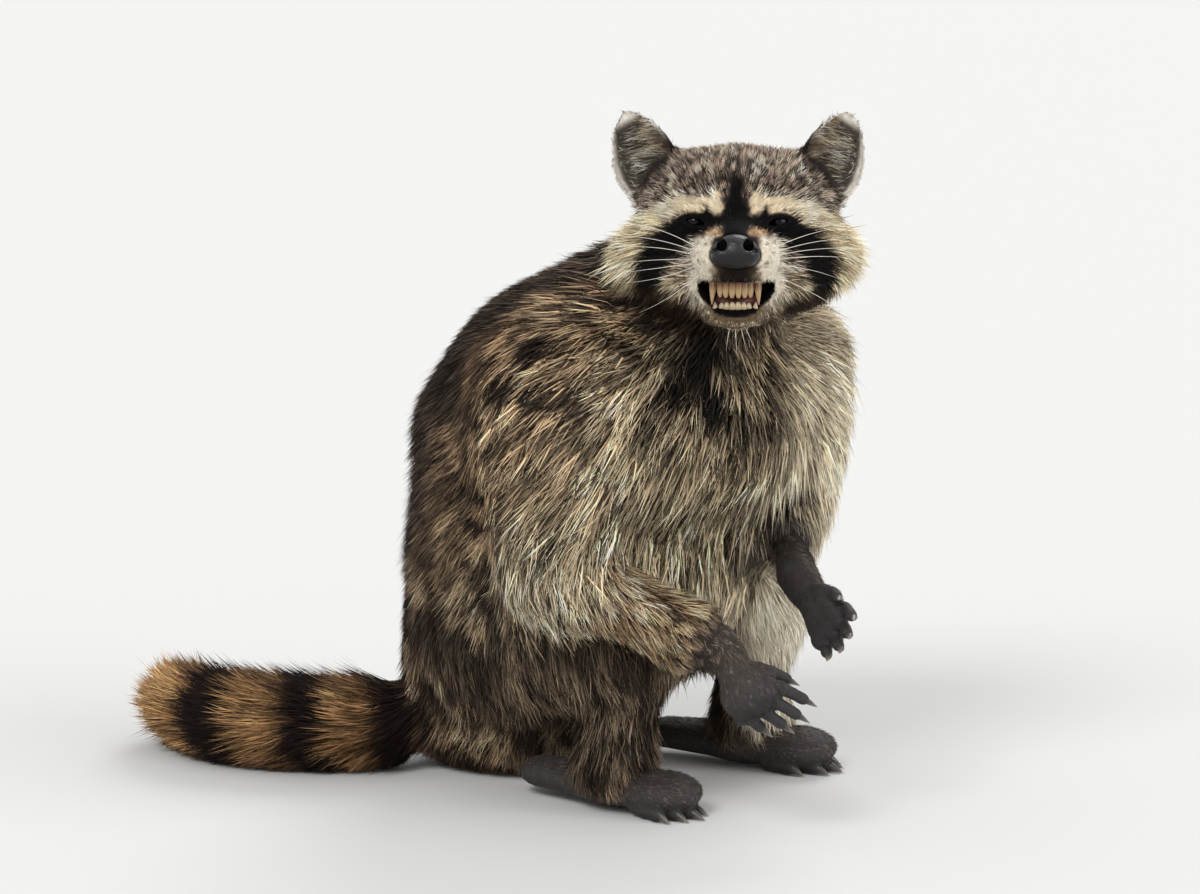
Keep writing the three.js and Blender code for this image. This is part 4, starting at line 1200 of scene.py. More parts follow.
def tuftShapes(root, normal, lie, length, width, lift, bend, bent, rng):
    # A straight tuft is a three-sided spike from a ring round its root to its tip; a bent one runs from
    # a point at its root through a ring, where it bends, to its tip. Each leaves the skin at more than
    # the lift and sinks to less than it, and its flat side faces out.
    n = len(root)
    up = lift[:, None]
    first = lie * np.cos(1.5 * up) + normal * np.sin(1.5 * up)
    second = lie * np.cos(0.55 * up) + normal * np.sin(0.55 * up)
    middle = root + first * (0.42 * length)[:, None] + bend * 0.3
    tip = middle + second * (0.58 * length)[:, None] + bend * 0.7
    # where the skin curves away under them, the bend and the tip are brought back towards it
    high = length * np.sin(1.15 * lift)
    if bent:
        middle -= normal * (0.9 * np.maximum(skinField(middle) - 0.75 * high, 0))[:, None]
    tip -= normal * (0.9 * np.maximum(skinField(tip) - high, 0))[:, None]
    away = unitRows(tip - root)
    turn = rng.normal(0, 0.5, n)[:, None]
    side = unitRows(np.cross(away, normal))
    side = side * np.cos(turn) + np.cross(away, side) * np.sin(turn)
    rise = unitRows(np.cross(away, side))
    angle = np.radians([90, 210, 330])
    ring = (side[:, None] * np.cos(angle)[None, :, None] * (0.5 * width)[:, None, None]
            + rise[:, None] * np.sin(angle)[None, :, None] * (0.2 * width)[:, None, None])
    if bent:
        return np.concatenate([root[:, None], middle[:, None] + ring, tip[:, None]], 1)
    return np.concatenate([root[:, None] + ring, tip[:, None]], 1)


coatScale = 0.965

# for each kind of tuft: faces, the level of colour and the place in the tuft's patch of each point,
# the most in one piece, the size of a large clump and how far tufts are drawn into it
tuftKinds = {
    "straight": {"faces": [(0, 1, 3), (1, 2, 3), (2, 0, 3), (0, 2, 1)], "levels": [0, 0, 0, 2],
                 "patch": [(0, 0), (1, 0), (0.5, 0.3), (0.5, 1)],
                 "most": 49500, "clump": 8.0, "pull": 0.6},
    "bent": {"faces": [(0, 2, 1), (0, 3, 2), (0, 1, 3), (1, 2, 4), (2, 3, 4), (3, 1, 4)],
             "levels": [0, 1, 1, 1, 2], "patch": [(0.5, 0), (0, 0.45), (1, 0.45), (0.5, 0.6), (0.5, 1)],
             "most": 33200, "clump": 12.0, "pull": 0.78},
}
# a tuft's patch in its piece's map, its depth in the skin, how strays differ, and how far tufts wander
tuftSettings = {"patch": 0.003, "smallClump": 3.6, "depth": 0.7, "strays": 0.035, "strayLength": 1.12,
                "strayLift": 1.4, "strayWidth": 0.5, "strayPull": 0.2, "turn": 0.16, "drift": 0.9,
                "floor": 0.4}


def coatRegions(middles, found):
    # the pieces of the coat, in the order in which they take the skin's faces, and their kind of tuft
    names = list(found)
    partName = np.array(names)[np.stack([found[name] for name in names]).argmin(0)]
    h, b = toLocal(headPlace, middles), toLocal(belly, middles)
    start = lambda *keys: np.any([np.char.startswith(partName, key) for key in keys], axis=0)
    trunkLike, height = start("trunk", "upperArm"), middles[:, 2]
    front = trunkLike & (b[:, 1] < -12)
    return {
        "coatFace": (start("head") & (h[:, 1] < -8) & (np.abs(h[:, 0]) < 44), "straight"),
        "coatCheeks": (start("head") & (h[:, 1] < 22), "straight"),
        "coatHeadBack": (start("head"), "straight"),
        "coatEars": (start("ear"), "straight"),
        "coatTail": (start("tail"), "straight"),
        "coatHands": (start("hand", "forearm"), "straight"),
        "coatFeet": (start("foot"), "straight"),
        "coatLegs": (start("thigh", "shank"), "straight"),
        "coatChest": (front & (height > 215), "bent"),
        "coatBelly": (front & (height > 150), "bent"),
        "coatLap": (front, "bent"),
        "coatShoulders": (trunkLike & (height > 215), "straight"),
        "coatBack": (trunkLike & (height > 110), "straight"),
        "coatRump": (trunkLike, "straight"),
    }


def tuftColours(rng, root, tips, near, isSmall, own, smallOwn, straight):
    # the markings, darkened and lightened by clump and by tuft: pepper is how much single tufts differ
    count = len(root)
    colour = markings(root, near)
    # painted shade: along the lower edge of the cheeks the tips are darkened, as under the ruff
    end = toLocal(headPlace, tips)
    drop = 7 * (np.abs(end[:, 0]) < 26)
    dark = (near["head"] < 4) * smooth(-end[:, 2], 45.5 + drop, 52 + drop)
    dark = dark * smooth(np.abs(end[:, 0]), 14, 24) * (1 - smooth(end[:, 1], 10, 40))
    for level, amount in ((2, 0.9), (1, 0.6)):
        m = amount * dark[:, None]
        colour[:, level] = colour[:, level] * (1 - m) + m * tones["beard"][1]
    chance = rng.random(count)
    pepper = colour[:, 3, 0] * (0.8 + 0.4 * rng.random(count))
    colour = colour[:, :3]
    contrast = 0.3 + np.where(isSmall, 0.7, 0.95) * pepper
    shade = (1 + (0.65 * own + 0.6 * smallOwn - 0.625) * contrast) * (0.9 + 0.2 * rng.random(count))
    dark = (1 - smooth(chance, 0.3, 0.4)) * pepper
    colour = colour * (shade[:, None] * (1 - dark[:, None] * np.array([0.2, 0.55, 0.7])))[:, :, None]
    light = smooth(chance, 0.8, 0.86)[:, None, None] * pepper[:, None, None]
    light = light * np.array([0, 0.2, 0.5])[:, None]
    colour = colour * (1 - light) + light * np.array([0.88, 0.8, 0.68])
    if straight:
        colour[:, 0] = 0.65 * colour[:, 0] + 0.35 * colour[:, 1]
        colour[:, 2] = 0.4 * colour[:, 1] + 0.6 * colour[:, 2]
    return colour


def addTufts(name, verts, colours, normal, home, kind):
    # one piece of the coat; its normals lean to the skin's, so that it shades as fur and not as spikes
    size = verts.shape[1]
    faces = (np.arange(len(verts))[:, None, None] * size + np.array(kind["faces"])[None]).reshape(-1, 3)
    piece = newObject(name, verts.reshape(-1, 3), faces)
    across = np.repeat(normal[:, None], size, 1)
    spread = unitRows((verts - verts.mean(1, keepdims=True)).reshape(-1, 3)).reshape(verts.shape)
    soft = unitRows((0.8 * across + 0.2 * spread).reshape(-1, 3))
    piece.data.normals_split_custom_set_from_vertices(soft.astype(np.float32))
    setColours(piece.data, "coatColour", colours[:, kind["levels"]].reshape(-1, 3))
    patch = np.array(kind["patch"], np.float32) * tuftSettings["patch"]
    uv = (home[:, None] + patch[None]).reshape(-1, 2)
    loops = np.empty(len(piece.data.loops), np.int32)
    piece.data.loops.foreach_get("vertex_index", loops)
    piece.data.uv_layers.new(name="OFBake").data.foreach_set("uv", uv[loops].astype(np.float32).ravel())
    piece.data.materials.append(coatMaterial)
    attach(piece, "root")


def growCoat(skinPoints, triangles, normals, found):
    # tufts in random places on each region's faces, as many as the density times the area
    rng = np.random.default_rng(23)
    s = tuftSettings
    corners = skinPoints[triangles]
    middles = corners.mean(1)
    across = np.cross(corners[:, 1] - corners[:, 0], corners[:, 2] - corners[:, 0])
    areas = np.linalg.norm(across, axis=1) / 2
    density = coatShape(middles, found)[3]
    taken = np.zeros(len(middles), bool)
    total = 0
    for index, (name, (chosen, kindName)) in enumerate(coatRegions(middles, found).items()):
        kind, bent = tuftKinds[kindName], kindName == "bent"
        chosen = chosen & ~taken
        taken |= chosen
        faces = np.flatnonzero(chosen & (density > 0.001))
        wanted = density[faces] * areas[faces]
        count = min(int(wanted.sum() * coatScale), kind["most"])
        total += count
        # the tufts' faces, and their places on them as shares of the corners
        spot = (np.arange(count) + rng.random(count)) / count * wanted.sum()
        pick = faces[np.searchsorted(np.cumsum(wanted), spot).clip(0, len(faces) - 1)]
        u, v = rng.random((2, count))
        flip = u + v > 1
        u[flip], v[flip] = 1 - u[flip], 1 - v[flip]
        shares = np.stack([1 - u - v, u, v], 1)
        mix = lambda values: (values * shares[:, :, None]).sum(1)
        root = mix(corners[pick]).astype(np.float32)
        normal = unitRows(mix(normals[triangles[pick]]))
        near = partDistances(root)
        lie = lieOf(root, normal, near)
        length, width, lift, _, clump = coatShape(root, near)
        # tufts lean into large clumps, or small ones where the coat is short
        way, own = clumps(root, kind["clump"])
        small, smallOwn = clumps(root, s["smallClump"])
        isSmall = clump < 6
        own = np.where(isSmall, smallOwn, own)
        way = np.where(isSmall[:, None], small, way)
        way = way - (way * normal).sum(1)[:, None] * normal
        stray = rng.random(count) < s["strays"]
        length = length * (0.72 + 0.56 * rng.random(count)) * np.where(stray, s["strayLength"], 1)
        lift = lift * (0.7 + 0.6 * rng.random(count)) * np.where(stray, s["strayLift"], 1)
        width = width * (0.7 + 0.6 * rng.random(count)) * np.where(stray, s["strayWidth"], 1)
        lie = unitRows(lie + s["turn"] * rng.normal(0, 1, (count, 3)))
        pull = kind["pull"] * np.where(stray, s["strayPull"], 1)[:, None]
        way = way + rng.normal(0, s["drift"], (count, 3)) * smooth(length, 12, 30)[:, None]
        start, turns = root - normal * s["depth"], np.random.default_rng(100 + index)
        verts = tuftShapes(start, normal, lie, length, width, lift, way * pull, bent, turns)
        # the tips stay above the floor
        verts[:, :, 2] = np.maximum(verts[:, :, 2], s["floor"] + 0.6 * rng.random((count, 1)))
        colours = tuftColours(rng, root, verts[:, -1], near, isSmall, own, smallOwn, not bent)
        places = unwrapOf(name + "Sheet", corners[faces])
        home = (places[np.searchsorted(faces, pick)] * shares[:, :, None]).sum(1)
        addTufts(name, verts, colours, normal, home, kind)
        say(f"{name} has {count} tufts of {int(wanted.sum())} wanted")
    say(f"coat has {total} tufts")


# materials

def plainMaterial(name, roughness=0.6, specular=0.5):
    # a material with its Principled shader
    made = bpy.data.materials.new(name)
    made.use_nodes = True
    shader = made.node_tree.nodes["Principled BSDF"]
    shader.inputs["Roughness"].default_value = roughness
    shader.inputs["Specular IOR Level"].default_value = specular
    return made, made.node_tree, shader


def attributeColour(tree, name):
    # the colours that setColours put on the mesh
    node = tree.nodes.new("ShaderNodeAttribute")
    node.attribute_type = "GEOMETRY"
    node.attribute_name = name
    return node.outputs["Color"]


def makeGroup(name, inputs, outputs):
    # a shader group with its input and output nodes; sockets are given as name: (kind, value)
    group = bpy.data.node_groups.new(name, "ShaderNodeTree")
    for key, (kind, value) in inputs.items():
        socket = group.interface.new_socket(key, in_out="INPUT", socket_type="NodeSocket" + kind)
        if value is not None:
            socket.default_value = value
    for key, kind in outputs.items():
        group.interface.new_socket(key, in_out="OUTPUT", socket_type="NodeSocket" + kind)
    return group, group.nodes.new("NodeGroupInput"), group.nodes.new("NodeGroupOutput")


def addNode(tree, kind, values=None, links=None, **settings):
    # a node with its settings, its socket values and the sockets that feed it
    node = tree.nodes.new("ShaderNode" + kind)
    for key, value in settings.items():
        setattr(node, key, value)
    for key, value in (values or {}).items():
        node.inputs[key].default_value = value
    for key, source in (links or {}).items():
        tree.links.new(source, node.inputs[key])
    return node


def useGroup(tree, group, **links):
    # a group's node; each input is given a value or the socket that feeds it
    node = tree.nodes.new("ShaderNodeGroup")
    node.node_tree = group
    for key, source in links.items():
        if hasattr(source, "is_linked"):
            tree.links.new(source, node.inputs[key])
        else:
            node.inputs[key].default_value = source
    return node


def endGroup(group, result, **outputs):
    # joins the group's outputs to the sockets that they show
    for key, source in outputs.items():
        group.links.new(source, result.inputs[key])
    return group


# small cells over soft hollows, as on leathery skin; scale is in cells for each metre
group, given, result = makeGroup("leatherGrain", {"Scale": ("Float", 800), "Depth": ("Float", 0.0003)},
                                 {"Normal": "Vector"})
place = addNode(group, "TexCoord").outputs["Object"]
cells = addNode(group, "TexVoronoi", None, {"Vector": place, "Scale": given.outputs["Scale"]},
                feature="SMOOTH_F1")
folds = addNode(group, "TexNoise", {"Detail": 3, "Scale": 260}, {"Vector": place})
height = addNode(group, "Math", {1: -0.7}, {0: cells.outputs["Distance"], 2: folds.outputs["Fac"]},
                 operation="MULTIPLY_ADD")
grainBump = addNode(group, "Bump", {"Strength": 0.8},
                    {"Height": height.outputs["Value"], "Distance": given.outputs["Depth"]})
grainGroup = endGroup(group, result, Normal=grainBump.outputs["Normal"])

# a colour made lighter and darker in patches: times 1 + 4 amount (cloud - 0.5)
group, given, result = makeGroup(
    "variedColour", {"Colour": ("Color", None), "Scale": ("Float", 300), "Amount": ("Float", 0.2)},
    {"Colour": "Color"})
place = addNode(group, "TexCoord").outputs["Object"]
cloud = addNode(group, "TexNoise", {"Detail": 4}, {"Vector": place, "Scale": given.outputs["Scale"]})
centred = addNode(group, "Math", {1: 0.5}, {0: cloud.outputs["Fac"]}, operation="SUBTRACT")
swing = addNode(group, "Math", None, {0: centred.outputs["Value"], 1: given.outputs["Amount"]},
                operation="MULTIPLY")
level = addNode(group, "Math", {1: 4.0, 2: 1.0}, {0: swing.outputs["Value"]}, operation="MULTIPLY_ADD")
scaled = addNode(group, "VectorMath", None, {0: given.outputs["Colour"], "Scale": level.outputs["Value"]},
                 operation="SCALE")
variedGroup = endGroup(group, result, Colour=scaled.outputs["Vector"])

# hair: fine lines along each tuft from its own map, three to a tuft:
# times 1 + contrast sin(2 pi across / 0.001)
group, given, result = makeGroup("hairStrands", {"Colour": ("Color", None), "Contrast": ("Float", 0.2)},
                                 {"Colour": "Color"})
ownMap = addNode(group, "UVMap", uv_map="OFBake").outputs["UV"]
across = addNode(group, "SeparateXYZ", None, {0: ownMap}).outputs["X"]
turns = addNode(group, "Math", {1: 2 * math.pi / 0.001}, {0: across}, operation="MULTIPLY")
wave = addNode(group, "Math", None, {0: turns.outputs["Value"]}, operation="SINE")
level = addNode(group, "Math", {2: 1.0}, {0: wave.outputs["Value"], 1: given.outputs["Contrast"]},
                operation="MULTIPLY_ADD")
scaled = addNode(group, "VectorMath", None, {0: given.outputs["Colour"], "Scale": level.outputs["Value"]},
                 operation="SCALE")
strandGroup = endGroup(group, result, Colour=scaled.outputs["Vector"])


def makeMaterial(name):
    # a shader whose colour, an attribute's or a fixed one, may vary in patches, and which may have grain
    s = materialSettings[name]
    made, tree, shader = plainMaterial(name, s["roughness"], s["specular"])
    source = attributeColour(tree, s["colour"]) if isinstance(s["colour"], str) else (*s["colour"], 1)
    if "patches" in s:
        scale, amount = s["patches"]
        source = useGroup(tree, variedGroup, Colour=source, Scale=scale, Amount=amount).outputs["Colour"]
    tree.links.new(source, shader.inputs["Base Color"])
    if "grain" in s:
        scale, depth = s["grain"]
        grain = useGroup(tree, grainGroup, Scale=scale, Depth=depth)
        tree.links.new(grain.outputs["Normal"], shader.inputs["Normal"])
    return made, tree, shader


# colour is an attribute's name or fixed; patches are their scale and amount, grain its scale and depth
materialSettings = {
    "skin": {"roughness": 0.7, "specular": 0.12, "colour": "skinColour", "patches": (420.0, 0.25),
             "grain": (900.0, 0.0004)},
    "nosePad": {"roughness": 0.36, "specular": 0.36, "colour": "noseColour", "patches": (500.0, 0.35),
                "grain": (1100.0, 0.00035)},
    "eyeball": {"roughness": 0.1, "specular": 0.22, "colour": "eyeColour"},
    "tooth": {"roughness": 0.3, "specular": 0.5, "colour": "toothColour", "patches": (600.0, 0.15)},
    "gum": {"roughness": 0.35, "specular": 0.5, "colour": (0.11, 0.045, 0.034), "patches": (350.0, 0.3)},
    "tongue": {"roughness": 0.4, "specular": 0.5, "colour": (0.13, 0.032, 0.03), "patches": (400.0, 0.2),
               "grain": (1400.0, 0.0004)},
    "claw": {"roughness": 0.38, "specular": 0.5, "colour": "clawColour", "patches": (700.0, 0.3)},
    "whisker": {"roughness": 0.35, "specular": 0.5, "colour": (0.76, 0.73, 0.66), "patches": (140.0, 0.12)},
}

coatMaterial, tree, shader = plainMaterial("coat", 0.8, 0.08)
strands = useGroup(tree, strandGroup, Colour=attributeColour(tree, "coatColour"), Contrast=0.16)
tree.links.new(strands.outputs["Colour"], shader.inputs["Base Color"])
skinMaterial, tree, shader = makeMaterial("skin")
gloss = addNode(tree, "Attribute", attribute_name="skinGloss").outputs["Fac"]
gloss = addNode(tree, "MapRange", {"To Min": 0.03, "To Max": 0.5}, {"Value": gloss}).outputs["Result"]
tree.links.new(gloss, shader.inputs["Specular IOR Level"])

skinPoints = readPoints(skin.data)
skinTriangles = readTriangles(skin.data)
skinNormals = unitRows(gradient(skinField, skinPoints, 1.0))
skinFound = partDistances(skinPoints)
coat = markings(skinPoints, skinFound)
bald = 1 - smooth(coatShape(skinPoints, skinFound)[3], 0.02, 0.3)
# under the coat the skin takes the roots' dark colour, partly as painted shade in the gaps between the tufts
under = coat[:, 0] * 0.9 + coat[:, 1] * 0.1
setColours(skin.data, "skinColour", under * (1 - bald[:, None]) + coat[:, 1] * bald[:, None])
share = partShares(skinFound)
lips = 0.02 * bald * (mouthRoom(skinPoints) < 6)
glossy = np.clip(lips + 0.8 * smooth(share("hand") + share("foot"), 0.3, 0.8), 0, 1)
skin.data.attributes.new("skinGloss", "FLOAT", "POINT").data.foreach_set("value", glossy.astype(np.float32))
skin.data.materials.append(skinMaterial)
keptNodes = ("claw", "eye", "nose", "upper_gums", "lower_gums")
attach(skin, "root")
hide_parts(*[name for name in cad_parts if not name.startswith(keptNodes)])
say("skin painted")

growCoat(skinPoints, skinTriangles, skinNormals, partDistances(skinPoints[skinTriangles].mean(1)))


# nose, eyes, teeth, claws and whiskers

def capOf(tip, ring, turned=False):
    # triangles from one point to a ring round it
    after = np.roll(ring, -1)
    first, second = (ring, after) if turned else (after, ring)
    return np.stack([np.full(len(ring), tip), first, second], 1)


def ringFaces(rings, sides):
    # triangles between rings of equally many points
    i, k = np.meshgrid(np.arange(rings - 1), np.arange(sides), indexing="ij")
    a, b = (i * sides + k).ravel(), (i * sides + (k + 1) % sides).ravel()
    return np.concatenate([np.stack([a, b, b + sides], 1), np.stack([a, b + sides, a + sides], 1)])


def tubeMesh(paths, radii, sides, flats=None, ups=None):
    # rings round each of several paths of equal length, closed at both ends with a point; flat is the ring's
    # height over its width, and up the way that its height faces
    paths, radii = np.asarray(paths, float), np.asarray(radii, float)
    count, steps = paths.shape[:2]
    along = np.gradient(paths, axis=1)
    along /= np.linalg.norm(along, axis=2)[..., None]
    up = np.array([0, 0, 1.0]) if ups is None else np.asarray(ups, float).reshape(-1, 1, 3)
    side = np.cross(along, np.broadcast_to(up, paths.shape))
    side /= np.maximum(np.linalg.norm(side, axis=2), 1e-6)[..., None]
    rise = np.cross(side, along)
    angle = np.linspace(0, 2 * np.pi, sides, endpoint=False)
    flat = np.ones(count) if flats is None else np.asarray(flats, float)
    wide = np.cos(angle)[:, None] * radii[:, :, None, None]
    high = np.sin(angle)[:, None] * radii[:, :, None, None] * flat[:, None, None, None]
    rings = paths[:, :, None] + side[:, :, None] * wide + rise[:, :, None] * high
    reach = radii[:, [0, -1], None] * np.array([-0.4, 0.4])[None, :, None]
    ends = paths[:, [0, -1]] + along[:, [0, -1]] * reach
    verts = np.concatenate([rings.reshape(count, -1, 3), ends], 1)
    ring = np.arange(sides)
    faces = np.concatenate([ringFaces(steps, sides), capOf(steps * sides, ring),
                            capOf(steps * sides + 1, ring + (steps - 1) * sides, True)])
    faces = (np.arange(count)[:, None, None] * verts.shape[1] + faces[None]).reshape(-1, 3)
    return verts.reshape(-1, 3), faces


def outward(obj):
    # turns the faces of a closed mesh outwards
    bm = bmesh.new()
    bm.from_mesh(obj.data)
    bmesh.ops.recalc_face_normals(bm, faces=bm.faces)
    bm.to_mesh(obj.data)
    bm.free()


def finish(obj, material, slot, *nodes):
    # gives a piece its material and hides the nodes that it stands for; slot is not used
    obj.data.materials.append(material)
    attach(obj, "root")
    if nodes:
        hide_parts(*nodes)


def netMesh(name, field, low, high, cell):
    # the zero surface of a field in the head's frame, on a grid of its own
    low, high = np.array(low, np.float32), np.array(high, np.float32)
    count = np.ceil((high - low) / cell).astype(int)
    index = np.stack(np.meshgrid(*[np.arange(c) for c in count], indexing="ij"), -1).reshape(-1, 3)
    local = low + index * cell
    p = (local @ headPlace[0].T + headPlace[1]).astype(np.float32)
    values = np.clip(field(p) / cell, -3, 3).astype(np.float32).reshape(count)
    grid = openvdb.FloatGrid(3.0)
    grid.copyFromArray(values)
    verts, faces = grid.convertToQuads(0.0)
    verts = (low + verts * cell) @ headPlace[0].T + headPlace[1]
    return newObject(name, verts, faces)


noseSettings = {"nostril": (7, -82, -13.2), "nostrilSize": (0.9, 1.08), "radius": 3.0,
                "slit": (11, -85, -16), "back": -74, "pebbles": 0.16, "grey": (0.15, 0.148, 0.155),
                "black": 0.045}


def nostrilGap(q):
    # across and up from the middle of the nearer nostril, over its size
    (x, _, z), (wide, high) = noseSettings["nostril"], noseSettings["nostrilSize"]
    return (np.abs(q[:, 0]) - x) / wide, (q[:, 2] - z) / high


def noseField(p):
    # the pad with its nostrils and their slits cut out, pebbled, and cut off behind
    s = noseSettings
    q = toLocal(headPlace, p)
    x, z = nostrilGap(q)
    slitX, slitY, slitZ = s["slit"]
    across = np.abs(q[:, 0]) - slitX
    nostril = np.sqrt(x ** 2 + z ** 2 + (np.maximum(q[:, 1] - s["nostril"][1], 0)) ** 2) - s["radius"]
    slit = np.maximum(np.hypot(across * 0.45, q[:, 2] - slitZ + across * 0.3) - 1.0, q[:, 1] - slitY)
    d = carve(noseDistance(p), blendMin(nostril, slit, 1.6), 1.2)
    return np.maximum(d + s["pebbles"] * (noise(p, 1.3) - 0.5), q[:, 1] - s["back"])


noseMaterial, _, _ = makeMaterial("nosePad")
nose = netMesh("nosePad", noseField, (-17, -97, -36), (17, -72, -3), 0.55)
q = toLocal(headPlace, readPoints(nose.data))
# the pad is painted grey on top as a painted highlight, and black below and in the nostrils as painted shade
black = np.maximum(1 - smooth(np.hypot(*nostrilGap(q)), 2.6, 3.8), 1 - smooth(q[:, 2], -22, -15))[:, None]
pad = np.array(noseSettings["grey"]) * (1 - black) + noseSettings["black"] * black
setColours(nose.data, "noseColour", pad)
finish(nose, noseMaterial, "bare_skin", "nose")

eyeMaterial, _, _ = makeMaterial("eyeball")
eyeColours = {"white": (0.09, 0.075, 0.07), "iris": (0.075, 0.05, 0.037), "pupil": 0.01}


def makeEye(side, name):
    # a ball whose front swells into the cornea
    s, c, rows, sides = eyeSettings, eyeColours, 25, 32
    v, u = np.meshgrid(np.linspace(0.02, math.pi - 0.02, rows),
                       np.linspace(0, 2 * np.pi, sides, endpoint=False), indexing="ij")
    r = s["radius"] - 0.15 + s["cornea"] * np.exp(-(v / 0.5) ** 2)
    local = np.stack([r * np.sin(v) * np.cos(u), -r * np.cos(v), r * np.sin(v) * np.sin(u)], -1)
    local = np.vstack([local.reshape(-1, 3), [0, -r[0, 0], 0], [0, r[-1, 0], 0]])
    ring = np.arange(sides)
    faces = np.concatenate([ringFaces(rows, sides), capOf(rows * sides, ring),
                            capOf(rows * sides + 1, ring + (rows - 1) * sides, True)])
    world = (local + np.array([side * s["spacing"] / 2, s["y"], s["z"]])) @ headPlace[0].T + headPlace[1]
    eye = newObject(name, world, faces)
    outward(eye)
    off = np.hypot(local[:, 0], local[:, 2])
    iris = (1 - smooth(off, s["iris"], s["iris"] + 0.6))[:, None]
    pupil = (1 - smooth(off, s["pupil"], s["pupil"] + 0.4))[:, None]
    colour = np.array(c["white"]) * (1 - iris) + np.array(c["iris"]) * iris
    setColours(eye.data, "eyeColour", colour * (1 - pupil) + c["pupil"] * pupil)
    finish(eye, eyeMaterial, "eye", "eye_" + name[3:].lower())


for side, name in ((-1, "eyeRight"), (1, "eyeLeft")):
    makeEye(side, name)

# teeth: a crown is a tapered peg, broader across than deep, with a blunt edge
toothMaterial, gumMaterial, tongueMaterial = (makeMaterial(name)[0] for name in ("tooth", "gum", "tongue"))
upperSettings = {"height": -32.6, "front": -72.6, "tooth": -8.6, "canine": -12.6, "canineAt": 0.3,
                 "gumAt": 0.2, "half": 14.6, "colour": (164, 136, 99)}
lowerSettings = {"height": -50.4, "front": -69.6, "tooth": 6.1, "canine": 6.8, "canineAt": 0.29,
                 "gumAt": -0.3, "half": 13, "colour": (178, 160, 128)}

# places along the arch for a kind of tooth, radii from its root to its edge, and its depth over its width
incisors = ((0.31, 0.386, 0.462, 0.538, 0.614, 0.69), [1.5, 1.7, 1.8, 1.84, 1.8, 1.56, 0.95], 0.62)
canines = [2.1, 2.25, 2.1, 1.8, 1.4, 0.9, 0.3], 0.9
cheekTeeth = ((0.385, 0.47, 0.62, 0.8), [2.5, 2.7, 2.6, 2.2, 1.7, 1.1, 0.5], 0.8)


def archPoint(settings, t, forward=0.0, rise=0.0):
    # a half circle across the front, t from 0 to 1, that runs straight back beyond its ends
    t = np.asarray(t, float)
    angle = np.pi * (np.clip(t, 0, 1) - 0.5)
    beyond = np.maximum(np.abs(t - 0.5) - 0.5, 0) * 34
    inward = 1 - 0.22 * smooth(np.abs(t - 0.5), 0.3, 0.42)
    local = np.stack([settings["half"] * np.sin(angle) * inward,
                      settings["front"] + 16 * (1 - np.cos(angle)) - forward + beyond,
                      settings["height"] + rise + 0 * angle], -1)
    return local @ headPlace[0].T + headPlace[1]


def toothRows(settings, up):
    # place along the arch, length, how far forward it leans, its lean to the side, radii and flatness
    places, *shape = incisors
    rows = [(t, settings["tooth"] - up * (0.6 * abs(t - 0.5) + 0.35 * math.sin(t * 91)), 1.2, 0, *shape)
            for t in places]
    places, *shape = cheekTeeth
    for turn in (-1, 1):
        rows.append((0.5 + turn * settings["canineAt"], settings["canine"], 1.5, turn, *canines))
        rows += [(0.5 + turn * t, settings["tooth"] * 0.8, 0, 0, *shape) for t in places]
    return rows


def makeTeeth(name, settings, node):
    # pegs that rise from the arch and bow forwards, and a gum that swells between them
    up = 1 if settings["tooth"] > 0 else -1
    steps = np.linspace(0, 1, 7)
    paths, radii, flats, ups = [], [], [], []
    for t, length, forward, lean, radius, flat in toothRows(settings, up):
        if lean:
            ahead = forward * (1 + 1.4 * np.sin(steps * 2.2))
        else:
            ahead = forward + 0.8 * np.sin(steps * 2.4) * (forward > 0)
        path = archPoint(settings, np.full(7, t), ahead, -up * 1.5 + steps * (length + up * 1.5))
        paths.append(path + steps[:, None] * headPlace[0][:, 0] * lean * 0.8)
        radii.append(radius)
        flats.append(flat)
        ups.append(archPoint(settings, t, 0) - at(headPlace, 0, settings["front"] + 16, settings["height"]))
    verts, faces = tubeMesh(paths, radii, 14, flats, ups)
    teeth = newObject(name + "Teeth", verts, faces)
    outward(teeth)
    level = (toLocal(headPlace, verts)[:, 2] - settings["height"]) / settings["tooth"]
    clean = smooth(level, 0.1, 0.7)[:, None]
    stain = np.array([0.62, 0.48, 0.34]) * (1 - clean) + clean
    setColours(teeth.data, "toothColour", stain * np.array(settings["colour"]) / 255)
    finish(teeth, toothMaterial, "tooth", node)
    span = np.linspace(-0.4, 1.4, 60)
    bumps = 2.6 + 0.25 * np.cos((span - 0.5) * 82)
    verts, faces = tubeMesh([archPoint(settings, span, 0, settings["gumAt"])], [bumps], 12)
    gum = newObject(name + "Gum", verts, faces)
    outward(gum)
    finish(gum, gumMaterial, "bare_skin")


def tongueField(p):
    # a thick tongue raised behind the teeth, with a furrow down its middle
    q = toLocal(headPlace, p)
    body = ellipsoid(headPlace, (0, -42, -44.5), (12, 25, 7.5))(p)
    furrow = np.hypot(q[:, 0], q[:, 2] + 36.6 - 0.004 * (q[:, 1] + 42) ** 2) - 1.4
    return carve(body, furrow, 2.5)


makeTeeth("upper", upperSettings, "upper_gums")
makeTeeth("lower", lowerSettings, "lower_gums")
finish(netMesh("tongue", tongueField, (-16, -74, -54), (16, -14, -31), 1.1), tongueMaterial, "bare_skin")

# claws: curved horns that taper and hook downwards
clawMaterial, _, _ = makeMaterial("claw")
clawSettings = {"taper": [0.5, 0.56, 0.52, 0.46, 0.38, 0.28, 0.17, 0.05], "sunk": 2.2, "hook": 0.34,
                "flat": 1.25, "root": (0.24, 0.22, 0.21), "tip": (0.5, 0.47, 0.43), "hand": 8, "foot": 9}


